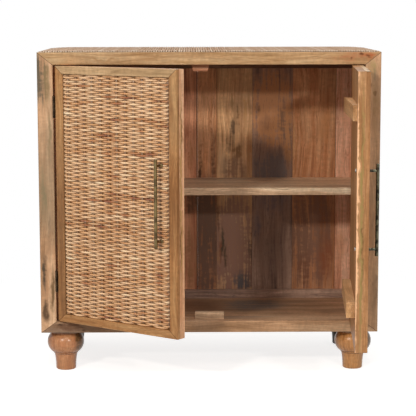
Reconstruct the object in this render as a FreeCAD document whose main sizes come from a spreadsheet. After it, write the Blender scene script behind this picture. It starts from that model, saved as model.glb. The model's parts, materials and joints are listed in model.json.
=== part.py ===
"""Two-door cabinet: a mitred front frame on a boarded carcass, woven-panel doors on butt hinges,
four turned feet and a woven top.  Millimetres.  X runs to the right, Y from front to back, Z up.
The origin is on the floor under the middle of the carcass.
"""
import FreeCAD
import Part
import Sketcher
import os

# ---------------------------------------------------------------------------------------------
# Driving dimensions: one spreadsheet cell each, with the alias that every expression uses
# ---------------------------------------------------------------------------------------------
SIZES = (
    ("cabinet_width", 800, "outside width of the carcass"),
    ("cabinet_depth", 380, "outside depth of the carcass"),
    ("carcass_height", 662, "carcass without its feet"),
    ("foot_height", 98, "floor to the underside of the carcass"),
    ("stile_width", 36.7, "front frame, upright members"),
    ("top_rail_height", 29, "front frame, upper member"),
    ("bottom_rail_height", 27, "front frame, lower member"),
    ("frame_depth", 60, "front frame, front to back"),
    ("frame_round", 2, "eased edges of the front frame"),
    ("side_thickness", 20, "side panels"),
    ("top_thickness", 20, "top board"),
    ("floor_thickness", 19, "floor board"),
    ("board_round", 2.5, "eased edges of the outer boards"),
    ("back_thickness", 12, "planks of the back"),
    ("back_inset", 16, "rear edge of the sides to the planks"),
    ("plank_1_width", 115, "back planks with their joints, from the left; together they fill the back"),
    ("plank_2_width", 120, "second plank"),
    ("plank_3_width", 119, "third plank"),
    ("plank_4_width", 49, "fourth plank"),
    ("plank_5_width", 92, "fifth plank"),
    ("plank_6_width", 103, "sixth plank"),
    ("plank_7_width", 111, "seventh plank"),
    ("plank_8_width", 51.6, "eighth plank"),
    ("plank_gap", 0.1, "joint between two planks"),
    ("back_rail_thickness", 12, "rails inside the back that the planks are nailed to"),
    ("back_top_rail_height", 30, "upper back rail"),
    ("back_bottom_rail_height", 22, "lower back rail"),
    ("shelf_height", 332, "underside of the carcass to the top of the shelf"),
    ("shelf_thickness", 18, "shelf board"),
    ("shelf_setback", 118, "front face to the front edge of the shelf"),
    ("shelf_clearance", 0.5, "shelf end to side panel"),
    ("cleat_width", 18, "shelf cleats, from the side panel inwards"),
    ("cleat_height", 20, "shelf cleats"),
    ("cleat_end_gap", 22, "shelf edge to cleat end, front and back"),
    ("shelf_block_width", 35, "glue blocks under the back of the shelf"),
    ("shelf_block_height", 14, "glue blocks"),
    ("shelf_block_depth", 20, "glue blocks"),
    ("shelf_block_inset", 75.5, "side panel to the middle of a glue block"),
    ("stop_depth", 20, "door stops, front to back"),
    ("stop_gap", 0.4, "closed door to door stop"),
    ("top_stop_width", 42, "upper door stop, at the rail"),
    ("top_stop_taper", 4.5, "upper door stop, drawn in at each lower corner"),
    ("top_stop_height", 16, "upper door stop"),
    ("top_stop_place", 20.5, "middle of the cabinet to the middle of the upper stop"),
    ("bottom_stop_width", 69, "lower door stop"),
    ("bottom_stop_height", 15.5, "lower door stop"),
    ("foot_inset", 53.6, "outside of the carcass to the axis of a foot"),
    ("foot_top_radius", 34, "collar of the turned foot, where it meets the carcass"),
    ("foot_collar_height", 8, "collar"),
    ("foot_ball_radius", 43.9, "turned foot at its widest"),
    ("foot_ball_height", 68, "floor to the widest place of the foot"),
    ("foot_shoulder_round", 29.4, "curve above the widest place"),
    ("foot_bowl_round", 31, "curve below the widest place"),
    ("foot_neck_radius", 32.5, "lower edge of the bowl, over the bead"),
    ("foot_neck_height", 44, "floor to the lower edge of the bowl"),
    ("foot_bead_radius", 30, "bead at its widest"),
    ("foot_bead_height", 4.5, "bead, top to bottom"),
    ("foot_shank_radius", 27.5, "shank under the bead"),
    ("foot_shank_hollow", 165, "hollow curve from the bead down to the toe"),
    ("foot_toe_radius", 24, "shank above its rounded toe"),
    ("foot_toe_round", 4, "rounded toe"),
    ("foot_bolt_radius", 4, "bolt that holds a foot"),
    ("foot_bolt_clearance", 0.05, "bolt to bore"),
    ("foot_bolt_in_foot", 38, "length of the bolt inside the foot"),
    ("foot_bolt_in_carcass", 14, "length of the bolt inside the carcass"),
    ("mat_thickness", 3.8, "woven top"),
    ("mat_edge", 1.5, "outside of the carcass to the edge of the woven top"),
    ("mat_corner", 30, "corners of the woven top in plan"),
    ("mat_round", 2.5, "upper edge of the woven top"),
    ("door_side_gap", 3.3, "stile to closed door"),
    ("door_meeting_gap", 3, "between the closed doors"),
    ("door_end_gap", 2, "rails to door, above and below"),
    ("door_board_thickness", 17, "board of the door"),
    ("door_frame_thickness", 10, "frame laid on the door's board"),
    ("door_stile_width", 22, "door frame, upright members"),
    ("door_rail_height", 18.5, "door frame, cross members"),
    ("door_round", 1.5, "eased edges of the door frame"),
    ("left_door_angle", 37.7, "degrees that the left door stands open at rest"),
    ("right_door_angle", 86.2, "degrees that the right door stands open at rest"),
    ("panel_clearance", 0.3, "woven panel to the frame and board round it"),
    ("panel_thickness", 9, "woven panel over a stake"),
    ("panel_valley", 4.5, "woven panel where its strands pass behind a stake"),
    ("stake_pitch", 24.6, "spacing of the stakes"),
    ("stake_offset", 12.6, "edge of the panel to its first stake, on the hinge side"),
    ("stake_swell", 22, "width of the swelling where strands pass in front of a stake"),
    ("weave_bands", 13, "bands of the weave, one above another; the swellings change places in each"),
    ("ledge_height", 34, "ledges that keep the door's board flat"),
    ("ledge_end_distance", 72, "door end to ledge"),
    ("ledge_start", 40, "hinge edge to ledge"),
    ("ledge_length", 295, "ledge along the door"),
    ("ledge_thickness", 19, "ledge at its thick end"),
    ("upper_ledge_tip", 9, "upper ledge at the end beside the handle"),
    ("lower_ledge_tip", 19, "lower ledge at the end beside the handle"),
    ("ledge_round", 1.5, "eased edges of a ledge"),
    ("hinge_proud", 3, "front face to the axis of the hinges"),
    ("hinge_end_distance", 95, "door end to the middle of a hinge"),
    ("leaf_height", 50, "butt hinge along its pin"),
    ("leaf_width", 20, "leaf from the front face inwards"),
    ("leaf_thickness", 1.2, "leaf"),
    ("knuckle_radius", 2.6, "barrel"),
    ("knuckle_gap", 0.2, "play between two knuckles"),
    ("pin_radius", 1.1, "hinge pin"),
    ("pin_fit", 0.05, "pin to knuckle"),
    ("bar_radius", 3.75, "handle bar"),
    ("bar_length", 200, "handle bar"),
    ("bar_round", 1.2, "ends of the handle bar"),
    ("bar_standoff", 19, "door face to the axis of the bar"),
    ("bar_from_edge", 44.5, "free edge of the door to the bar"),
    ("bar_rise", 3, "middle of the door to the middle of the bar"),
    ("post_spacing", 170, "between the two posts of a handle"),
    ("post_radius", 2.9, "post"),
    ("post_foot_radius", 5.2, "flared foot of a post"),
    ("post_foot_height", 4, "flared foot of a post"),
    ("post_clearance", 0.6, "post to woven panel"),
    ("screw_radius", 2, "screw through the door into a post"),
    ("screw_fit", 0.1, "screw to its bore"),
    ("screw_grip", 9, "length of the screw inside the post"),
    ("screw_head_radius", 4, "screw head"),
    ("screw_head_height", 2.4, "screw head"),
)

doc = FreeCAD.newDocument("cabinet")
sheet = doc.addObject("Spreadsheet::Sheet", "Sizes")
for row, (alias, size, meaning) in enumerate(SIZES, start=1):
    sheet.set(f"A{row}", meaning)
    sheet.set(f"B{row}", str(size))
    sheet.setAlias(f"B{row}", alias)
doc.recompute()

# Sizes that follow from the driving ones, as expressions on the sheet
FRONT = "(-Sizes.cabinet_depth / 2)"
HALF_WIDTH = "(Sizes.cabinet_width / 2)"
INNER_HALF = "(Sizes.cabinet_width / 2 - Sizes.side_thickness)"
BACK_FACE = "(Sizes.cabinet_depth - Sizes.back_inset - Sizes.back_thickness)"
TOP_UNDERSIDE = "(Sizes.carcass_height - Sizes.top_thickness)"
SHELF_UNDERSIDE = "(Sizes.shelf_height - Sizes.shelf_thickness)"
DOOR_THICKNESS = "(Sizes.door_frame_thickness + Sizes.door_board_thickness)"
DOOR_WIDTH = ("(Sizes.cabinet_width / 2 - Sizes.stile_width - Sizes.door_side_gap"
              " - Sizes.door_meeting_gap / 2)")
DOOR_HEIGHT = ("(Sizes.carcass_height - Sizes.top_rail_height - Sizes.bottom_rail_height"
               " - 2 * Sizes.door_end_gap)")
DOOR_BOTTOM = "(Sizes.foot_height + Sizes.bottom_rail_height + Sizes.door_end_gap)"
HINGE_X = "(Sizes.cabinet_width / 2 - Sizes.stile_width - Sizes.door_side_gap / 2)"
BAR_PLACE = f"({DOOR_WIDTH} - Sizes.bar_from_edge)"
BAR_MIDDLE = f"({DOOR_HEIGHT} / 2 + Sizes.bar_rise)"

NO_TURN = "rotation(vector(0; 0; 1); 0)"
LIE_ALONG_Y = "rotation(vector(1; 0; 0); -90)"
parts = []


def number(expression):
    """Value of an expression on the sheet."""
    result = sheet.evalExpression(expression)
    return float(getattr(result, "Value", result))


def at(x, y, z, turn=NO_TURN):
    """Placement from the carcass corner: x from the middle, y from the front face, z from its underside."""
    return f"placement(vector({x}; {FRONT} + {y}; Sizes.foot_height + {z}); {turn})"


def on_door(side, x="0", y="0", z="0", turn=NO_TURN):
    """Placement on a door: x from its hinge edge, y from its front face, z from its lower end.

    side is +1 for the left door, whose free edge points to +X when it is shut, and -1 for the right.
    The door is turned about its hinge axis by the angle that it stands open.
    """
    name = "left" if side > 0 else "right"
    return (f"placement(vector({-side} * {HINGE_X}; {FRONT} - Sizes.hinge_proud; 0);"
            f" rotation(vector(0; 0; 1); {-side} * Sizes.{name}_door_angle))"
            f" * placement(vector({side} * (Sizes.door_side_gap / 2 + {x});"
            f" Sizes.hinge_proud + {y}; {DOOR_BOTTOM} + {z}); {turn})")


# ---------------------------------------------------------------------------------------------
# Small helpers round FreeCAD's own features
# ---------------------------------------------------------------------------------------------
def keep(piece, label):
    """Name a finished sub-part, so that it is written out."""
    piece.Label = label
    parts.append(piece)
    return piece


def new_body(label, place):
    """PartDesign body of one sub-part, placed by an expression."""
    body = doc.addObject("PartDesign::Body", label)
    body.setExpression("Placement", place)
    return keep(body, label)


def new_sketch(body, role, name):
    """Sketch on one of the body's own origin planes."""
    sketch = body.newObject("Sketcher::SketchObject", name)
    plane = [item for item in body.Origin.OriginFeatures if item.Role == role][0]
    sketch.AttachmentSupport = [(plane, "")]
    sketch.MapMode = "FlatFace"
    return sketch


def fix_point(sketch, geometry, point, x, y):
    """Tie a sketch point to two expressions, measured from the sketch's origin."""
    for kind, expression in (("DistanceX", x), ("DistanceY", y)):
        index = sketch.addConstraint(
            Sketcher.Constraint(kind, -1, 1, geometry, point, number(expression)))
        sketch.setExpression(f"Constraints[{index}]", expression)


def outline(body, role, corners, name="Outline"):
    """Closed outline through corners (x, y).

    A third entry makes the edge that leaves the corner an arc: its radius, positive where the
    edge bows to the right of its way, negative where it bows to the left.
    """
    sketch = new_sketch(body, role, name)
    points = [FreeCAD.Vector(number(c[0]), number(c[1]), 0) for c in corners]
    count = len(corners)
    for index, corner in enumerate(corners):
        start, end = points[index], points[(index + 1) % count]
        if len(corner) < 3:
            sketch.addGeometry(Part.LineSegment(start, end), False)
            continue
        radius = number(corner[2])
        chord = end - start
        right = FreeCAD.Vector(chord.y, -chord.x, 0).normalize() * (1 if radius > 0 else -1)
        rise = abs(radius) - (radius ** 2 - (chord.Length / 2) ** 2) ** 0.5
        crown = (start + end) * 0.5 + right * rise
        if radius < 0:
            start, end = end, start     # a sketch's arcs run anticlockwise
        sketch.addGeometry(Part.Arc(start, crown, end), False)
    ends = []
    for index, corner in enumerate(corners):
        geometry = sketch.Geometry[index]
        forward = geometry.StartPoint.distanceToPoint(points[index]) < 1e-6
        ends.append((1, 2) if forward else (2, 1))
    for index, corner in enumerate(corners):
        after = (index + 1) % count
        sketch.addConstraint(
            Sketcher.Constraint("Coincident", index, ends[index][1], after, ends[after][0]))
        fix_point(sketch, index, ends[index][0], corner[0], corner[1])
        if len(corner) == 3:
            tie = sketch.addConstraint(
                Sketcher.Constraint("Radius", index, abs(number(corner[2]))))
            sketch.setExpression(f"Constraints[{tie}]", f"abs({corner[2]})")
    return sketch


def circles(body, role, centres, radius, name="Holes"):
    """Sketch of equal circles."""
    sketch = new_sketch(body, role, name)
    for index, (x, y) in enumerate(centres):
        centre = FreeCAD.Vector(number(x), number(y), 0)
        sketch.addGeometry(Part.Circle(centre, FreeCAD.Vector(0, 0, 1), number(radius)), False)
        fix_point(sketch, index, 3, x, y)
        tie = sketch.addConstraint(Sketcher.Constraint("Radius", index, number(radius)))
        sketch.setExpression(f"Constraints[{tie}]", radius)
    return sketch


def pad(body, sketch, length, reverse=False):
    """Pad a sketch; reverse sends it against the sketch's normal."""
    feature = body.newObject("PartDesign::Pad", "Pad")
    feature.Profile = sketch
    feature.setExpression("Length", length)
    feature.Reversed = reverse
    sketch.Visibility = False
    doc.recompute()
    return feature


def pocket(body, sketch, length, reverse=False):
    """Cut a sketch into the body to a depth, and make sure that it cut."""
    before = body.Shape.Volume
    feature = body.newObject("PartDesign::Pocket", "Pocket")
    feature.Profile = sketch
    feature.setExpression("Length", length)
    feature.Reversed = reverse
    sketch.Visibility = False
    doc.recompute()
    if body.Shape.Volume > before - 1e-3:
        raise ValueError(f"{body.Label}: {feature.Label} cuts nothing")
    return feature


def rectangle(sketch, start, near, far):
    """Add a rectangle between two corners (x, y) to a sketch that has start lines in it so far."""
    corners = (near, (far[0], near[1]), far, (near[0], far[1]))
    points = [FreeCAD.Vector(number(x), number(y), 0) for x, y in corners]
    for index in range(4):
        sketch.addGeometry(Part.LineSegment(points[index], points[(index + 1) % 4]), False)
    for index, (x, y) in enumerate(corners):
        sketch.addConstraint(Sketcher.Constraint("Coincident", start + index, 1,
                                                 start + (index + 3) % 4, 2))
        fix_point(sketch, start + index, 1, x, y)


def repeat(body, feature, sketch, backwards, spacing, more):
    """Repeat a feature along its sketch's horizontal axis: more times, at equal spacing."""
    pattern = body.newObject("PartDesign::LinearPattern", "Repeated")
    pattern.Originals = [feature]
    pattern.Direction = (sketch, ["H_Axis"])
    pattern.Reversed = backwards
    pattern.setExpression("Length", f"{spacing} * {more}")
    pattern.setExpression("Occurrences", f"1 + {more}")
    body.Tip = pattern
    doc.recompute()
    return pattern


def ease(body, radius, chosen):
    """Fillet the edges of the body for which chosen(edge) is true, in the body's own frame."""
    base = body.Tip
    names = [f"Edge{i}" for i, edge in enumerate(base.Shape.Edges, start=1) if chosen(edge)]
    fillet = body.newObject("PartDesign::Fillet", "Eased")
    fillet.Base = (base, names)
    fillet.setExpression("Radius", radius)
    doc.recompute()
    return fillet


def along(edge, axis):
    """Whether a straight edge runs along an axis, 0 to 2."""
    first, last = edge.Vertexes[0].Point, edge.Vertexes[-1].Point
    return (last - first).Length > 0 and abs((last - first)[axis]) > 0.999 * (last - first).Length


def level(edge, axis, expression):
    """Whether an edge lies at a coordinate along an axis."""
    wanted = number(expression)
    return all(abs(vertex.Point[axis] - wanted) < 1e-4 for vertex in edge.Vertexes)


def board(label, place, size, radius=None, chosen=None):
    """Sawn board: a rectangle x by y, padded to z, with chosen edges eased."""
    x, y, z = size
    body = new_body(label, place)
    pad(body, outline(body, "XY_Plane", (("0", "0"), (x, "0"), (x, y), ("0", y))), z)
    if chosen:
        ease(body, radius, chosen)
    return body


def primitive(kind, place, **sizes):
    """Part primitive whose sizes and placement are expressions."""
    piece = doc.addObject(kind, kind.split("::")[1])
    for name, expression in sizes.items():
        piece.setExpression(name, expression)
    piece.setExpression("Placement", place)
    return piece


def fuse(pieces):
    """Union of primitives that touch or overlap."""
    union = doc.addObject("Part::MultiFuse", "Union")
    union.Shapes = pieces
    return union


def cut(base, tool):
    """Base without tool."""
    rest = doc.addObject("Part::Cut", "Cut")
    rest.Base = base
    rest.Tool = tool
    return rest


def group(label, pieces):
    """Like pieces that share one node, each its own solid."""
    compound = doc.addObject("Part::Compound", label)
    compound.Links = pieces
    return keep(compound, label)


# ---------------------------------------------------------------------------------------------
# Front frame: four members whose mitres run from the outer to the inner corner
# ---------------------------------------------------------------------------------------------
def mitred_member(label, place, corners, depth, radius, axis):
    """Frame member: its face outline is padded backwards and its long front edges are eased."""
    body = new_body(label, place)
    pad(body, outline(body, "XZ_Plane", corners), depth, reverse=True)
    ease(body, radius, lambda edge: along(edge, axis) and level(edge, 1, "0"))
    return body


def mitred_frame(names, place, side, width, height, stile, top_rail, bottom_rail, depth, radius):
    """Four mitred members round an opening; side -1 mirrors the frame in X."""
    outer = f"({side} * {width})"
    near, far = f"({side} * {stile})", f"({side} * ({width} - {stile}))"
    upper = f"({height} - {top_rail})"
    near_stile = (("0", "0"), (near, bottom_rail), (near, upper), ("0", height))
    far_stile = ((outer, "0"), (outer, height), (far, upper), (far, bottom_rail))
    top = (("0", height), (near, upper), (far, upper), (outer, height))
    bottom = (("0", "0"), (outer, "0"), (far, bottom_rail), (near, bottom_rail))
    members = []
    for label, corners, axis in zip(names, (near_stile, far_stile, top, bottom), (2, 2, 0, 0)):
        members.append(mitred_member(label, place, corners, depth, radius, axis))
    return members


front_frame = mitred_frame(
    ("frame_left_stile", "frame_right_stile", "frame_top_rail", "frame_bottom_rail"),
    at(f"-{HALF_WIDTH}", "0", "0"), 1, "Sizes.cabinet_width", "Sizes.carcass_height",
    "Sizes.stile_width", "Sizes.top_rail_height", "Sizes.bottom_rail_height",
    "Sizes.frame_depth", "Sizes.frame_round")

FOOT_BORE = "(Sizes.foot_bolt_radius + Sizes.foot_bolt_clearance)"
bottom_rail = front_frame[3]
rail_bores = [("Sizes.foot_inset", "Sizes.foot_inset"),
              ("Sizes.cabinet_width - Sizes.foot_inset", "Sizes.foot_inset")]
pocket(bottom_rail, circles(bottom_rail, "XY_Plane", rail_bores, FOOT_BORE),
       "Sizes.foot_bolt_in_carcass + Sizes.foot_bolt_clearance", reverse=True)

# ---------------------------------------------------------------------------------------------
# Carcass boards
# ---------------------------------------------------------------------------------------------
BOARD_LENGTH = "(Sizes.cabinet_depth - Sizes.frame_depth)"
INNER_WIDTH = "(2 * (Sizes.cabinet_width / 2 - Sizes.side_thickness))"

board("left_side_panel", at(f"-{HALF_WIDTH}", "Sizes.frame_depth", "0"),
      ("Sizes.side_thickness", BOARD_LENGTH, TOP_UNDERSIDE), "Sizes.board_round",
      lambda edge: along(edge, 2) and level(edge, 0, "0") and level(edge, 1, BOARD_LENGTH))
board("right_side_panel", at(INNER_HALF, "Sizes.frame_depth", "0"),
      ("Sizes.side_thickness", BOARD_LENGTH, TOP_UNDERSIDE), "Sizes.board_round",
      lambda edge: along(edge, 2) and level(edge, 0, "Sizes.side_thickness")
      and level(edge, 1, BOARD_LENGTH))
board("top_board", at(f"-{HALF_WIDTH}", "Sizes.frame_depth", TOP_UNDERSIDE),
      ("Sizes.cabinet_width", BOARD_LENGTH, "Sizes.top_thickness"), "Sizes.board_round",
      lambda edge: level(edge, 1, BOARD_LENGTH) and not level(edge, 2, "0"))

FLOOR_LENGTH = f"({BACK_FACE} - Sizes.frame_depth)"
floor_board = board("floor_board", at(f"-{INNER_HALF}", "Sizes.frame_depth", "0"),
                    (INNER_WIDTH, FLOOR_LENGTH, "Sizes.floor_thickness"))
floor_bores = []
for x in ("Sizes.foot_inset - Sizes.side_thickness",
          f"{INNER_WIDTH} - Sizes.foot_inset + Sizes.side_thickness"):
    floor_bores.append((x, "Sizes.cabinet_depth - Sizes.foot_inset - Sizes.frame_depth"))
pocket(floor_board, circles(floor_board, "XY_Plane", floor_bores, FOOT_BORE),
       "Sizes.foot_bolt_in_carcass + Sizes.foot_bolt_clearance", reverse=True)

# ---------------------------------------------------------------------------------------------
# Back: upright planks nailed to two rails, each plank's share of the back set by its own width
# ---------------------------------------------------------------------------------------------
plank_widths = [alias for alias, size, meaning in SIZES if alias.startswith("plank_") and "width" in alias]
nominal_width = " + ".join(f"Sizes.{alias}" for alias in plank_widths)
PLANK_STRETCH = f"(({INNER_WIDTH} + Sizes.plank_gap) / ({nominal_width}))"
plank_edge = f"-{INNER_HALF}"
for index, alias in enumerate(plank_widths, start=1):
    pitch = f"Sizes.{alias} * {PLANK_STRETCH}"
    board(f"back_plank_{index}", at(plank_edge, BACK_FACE, "0"),
          (f"({pitch} - Sizes.plank_gap)", "Sizes.back_thickness", TOP_UNDERSIDE))
    plank_edge = f"{plank_edge} + {pitch}"

RAIL_FACE = f"({BACK_FACE} - Sizes.back_rail_thickness)"
board("back_top_rail",
      at(f"-{INNER_HALF}", RAIL_FACE, f"{TOP_UNDERSIDE} - Sizes.back_top_rail_height"),
      (INNER_WIDTH, "Sizes.back_rail_thickness", "Sizes.back_top_rail_height"))
board("back_bottom_rail", at(f"-{INNER_HALF}", RAIL_FACE, "Sizes.floor_thickness"),
      (INNER_WIDTH, "Sizes.back_rail_thickness", "Sizes.back_bottom_rail_height"))

# ---------------------------------------------------------------------------------------------
# Shelf on two cleats, with a glue block under it at each end of the back
# ---------------------------------------------------------------------------------------------
SHELF_DEPTH = f"({BACK_FACE} - Sizes.shelf_setback)"
board("shelf", at(f"-{INNER_HALF} + Sizes.shelf_clearance", "Sizes.shelf_setback", SHELF_UNDERSIDE),
      (f"{INNER_WIDTH} - 2 * Sizes.shelf_clearance", SHELF_DEPTH, "Sizes.shelf_thickness"),
      "Sizes.frame_round", lambda edge: along(edge, 0) and level(edge, 1, "0"))

CLEAT_LENGTH = f"({SHELF_DEPTH} - 2 * Sizes.cleat_end_gap)"
for name, x in (("left", f"-{INNER_HALF}"), ("right", f"{INNER_HALF} - Sizes.cleat_width")):
    board(f"{name}_shelf_cleat",
          at(x, "Sizes.shelf_setback + Sizes.cleat_end_gap", f"{SHELF_UNDERSIDE} - Sizes.cleat_height"),
          ("Sizes.cleat_width", CLEAT_LENGTH, "Sizes.cleat_height"))
for name, sign in (("left", "-1"), ("right", "1")):
    board(f"{name}_shelf_block",
          at(f"{sign} * ({INNER_HALF} - Sizes.shelf_block_inset) - Sizes.shelf_block_width / 2",
             f"{BACK_FACE} - Sizes.shelf_block_depth", f"{SHELF_UNDERSIDE} - Sizes.shelf_block_height"),
          ("Sizes.shelf_block_width", "Sizes.shelf_block_depth", "Sizes.shelf_block_height"))

# ---------------------------------------------------------------------------------------------
# Door stops behind the meeting edges of the closed doors
# ---------------------------------------------------------------------------------------------
STOP_FACE = f"({DOOR_THICKNESS} + Sizes.stop_gap)"
top_stop = new_body("top_door_stop",
                    at("-Sizes.top_stop_place - Sizes.top_stop_width / 2", STOP_FACE,
                       "Sizes.carcass_height - Sizes.top_rail_height - Sizes.top_stop_height"))
pad(top_stop, outline(top_stop, "XZ_Plane",
                      (("0", "Sizes.top_stop_height"),
                       ("Sizes.top_stop_taper", "0"),
                       ("Sizes.top_stop_width - Sizes.top_stop_taper", "0"),
                       ("Sizes.top_stop_width", "Sizes.top_stop_height"))),
    "Sizes.stop_depth", reverse=True)
board("bottom_door_stop",
      at("-Sizes.bottom_stop_width / 2", STOP_FACE, "Sizes.bottom_rail_height"),
      ("Sizes.bottom_stop_width", "Sizes.stop_depth", "Sizes.bottom_stop_height"),
      "Sizes.door_round / 2", lambda edge: level(edge, 2, "Sizes.bottom_stop_height"))


# ---------------------------------------------------------------------------------------------
# Turned feet, each held by a bolt
# ---------------------------------------------------------------------------------------------
BORE_DEPTH = "(Sizes.foot_bolt_in_foot + Sizes.foot_bolt_clearance)"
FOOT_X = "(Sizes.cabinet_width / 2 - Sizes.foot_inset)"
FOOT_Y = "(Sizes.cabinet_depth / 2 - Sizes.foot_inset)"


def turned_foot(label, x, y):
    """Bun foot: a half profile from the axis outwards, turned about it, with a bore for its bolt."""
    body = new_body(label, f"placement(vector({x}; {y}; 0); {NO_TURN})")
    bead_foot = "(Sizes.foot_neck_height - Sizes.foot_bead_height)"
    profile = (
        ("0", "0"),
        ("Sizes.foot_toe_radius - Sizes.foot_toe_round", "0", "Sizes.foot_toe_round"),
        ("Sizes.foot_toe_radius", "Sizes.foot_toe_round", "-Sizes.foot_shank_hollow"),
        ("Sizes.foot_shank_radius", bead_foot,
         "((Sizes.foot_bead_radius - Sizes.foot_shank_radius) / 2"
         " + Sizes.foot_bead_height ^ 2 / 8 / (Sizes.foot_bead_radius - Sizes.foot_shank_radius))"),
        ("Sizes.foot_shank_radius", "Sizes.foot_neck_height"),
        ("Sizes.foot_neck_radius", "Sizes.foot_neck_height", "Sizes.foot_bowl_round"),
        ("Sizes.foot_ball_radius", "Sizes.foot_ball_height", "Sizes.foot_shoulder_round"),
        ("Sizes.foot_top_radius", "Sizes.foot_height - Sizes.foot_collar_height"),
        ("Sizes.foot_top_radius", "Sizes.foot_height"),
        ("0", "Sizes.foot_height"),
    )
    turning = body.newObject("PartDesign::Revolution", "Turning")
    turning.Profile = outline(body, "XZ_Plane", profile, "Profile")
    turning.ReferenceAxis = (turning.Profile[0], ["V_Axis"])
    turning.Angle = 360
    doc.recompute()
    before = body.Shape.Volume
    bore_profile = (("0", "Sizes.foot_height"), ("0", f"Sizes.foot_height - {BORE_DEPTH}"),
                    (FOOT_BORE, f"Sizes.foot_height - {BORE_DEPTH}"), (FOOT_BORE, "Sizes.foot_height"))
    bore = body.newObject("PartDesign::Groove", "Bore")
    bore.Profile = outline(body, "XZ_Plane", bore_profile, "BoreProfile")
    bore.ReferenceAxis = (bore.Profile[0], ["V_Axis"])
    bore.Angle = 360
    doc.recompute()
    if body.Shape.Volume > before - 1e-3:
        raise ValueError(f"{label}: the bore cuts nothing")
    return body


foot_bolts = []
for row_name, y in (("front", f"-{FOOT_Y}"), ("back", FOOT_Y)):
    for column_name, x in (("left", f"-{FOOT_X}"), ("right", FOOT_X)):
        turned_foot(f"{row_name}_{column_name}_foot", x, y)
        foot_bolts.append(primitive(
            "Part::Cylinder",
            f"placement(vector({x}; {y}; Sizes.foot_height - Sizes.foot_bolt_in_foot); {NO_TURN})",
            Radius="Sizes.foot_bolt_radius",
            Height="Sizes.foot_bolt_in_foot + Sizes.foot_bolt_in_carcass"))
group("foot_bolts", foot_bolts)

# ---------------------------------------------------------------------------------------------
# Woven top: a thin mat with rounded corners and a rolled upper edge
# ---------------------------------------------------------------------------------------------
MAT_WIDTH = "(Sizes.cabinet_width - 2 * Sizes.mat_edge)"
MAT_DEPTH = "(Sizes.cabinet_depth - 2 * Sizes.mat_edge)"
woven_top = board("woven_top", at(f"-{MAT_WIDTH} / 2", "Sizes.mat_edge", "Sizes.carcass_height"),
                  (MAT_WIDTH, MAT_DEPTH, "Sizes.mat_thickness"), "Sizes.mat_corner",
                  lambda edge: along(edge, 2) and level(edge, 1, MAT_DEPTH))
ease(woven_top, "Sizes.mat_round", lambda edge: level(edge, 2, "Sizes.mat_thickness"))

# ---------------------------------------------------------------------------------------------
# Doors: a board, a mitred frame laid on it, a woven panel inside the frame, ledges and a handle
# ---------------------------------------------------------------------------------------------
PANEL_WIDTH = f"({DOOR_WIDTH} - 2 * (Sizes.door_stile_width + Sizes.panel_clearance))"
PANEL_HEIGHT = f"({DOOR_HEIGHT} - 2 * (Sizes.door_rail_height + Sizes.panel_clearance))"
PANEL_X = "(Sizes.door_stile_width + Sizes.panel_clearance)"
PANEL_Z = "(Sizes.door_rail_height + Sizes.panel_clearance)"
PANEL_MIDDLE = "(Sizes.door_frame_thickness - Sizes.panel_clearance - Sizes.panel_thickness / 2)"
POST_PLACES = tuple((f"({BAR_PLACE})", f"({BAR_MIDDLE} {sign} Sizes.post_spacing / 2)")
                    for sign in ("-", "+"))


def door_board(label, side):
    """Board of the door, drilled for the screws of the handle."""
    body = new_body(label, on_door(side, y="Sizes.door_frame_thickness"))
    width = f"({side} * {DOOR_WIDTH})"
    pad(body, outline(body, "XZ_Plane", (("0", "0"), (width, "0"), (width, DOOR_HEIGHT),
                                         ("0", DOOR_HEIGHT))),
        "Sizes.door_board_thickness", reverse=True)
    holes = [(f"{side} * {x}", z) for x, z in POST_PLACES]
    pocket(body, circles(body, "XZ_Plane", holes, "Sizes.screw_radius + Sizes.screw_fit"),
           "Sizes.door_board_thickness")
    return body


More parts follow.
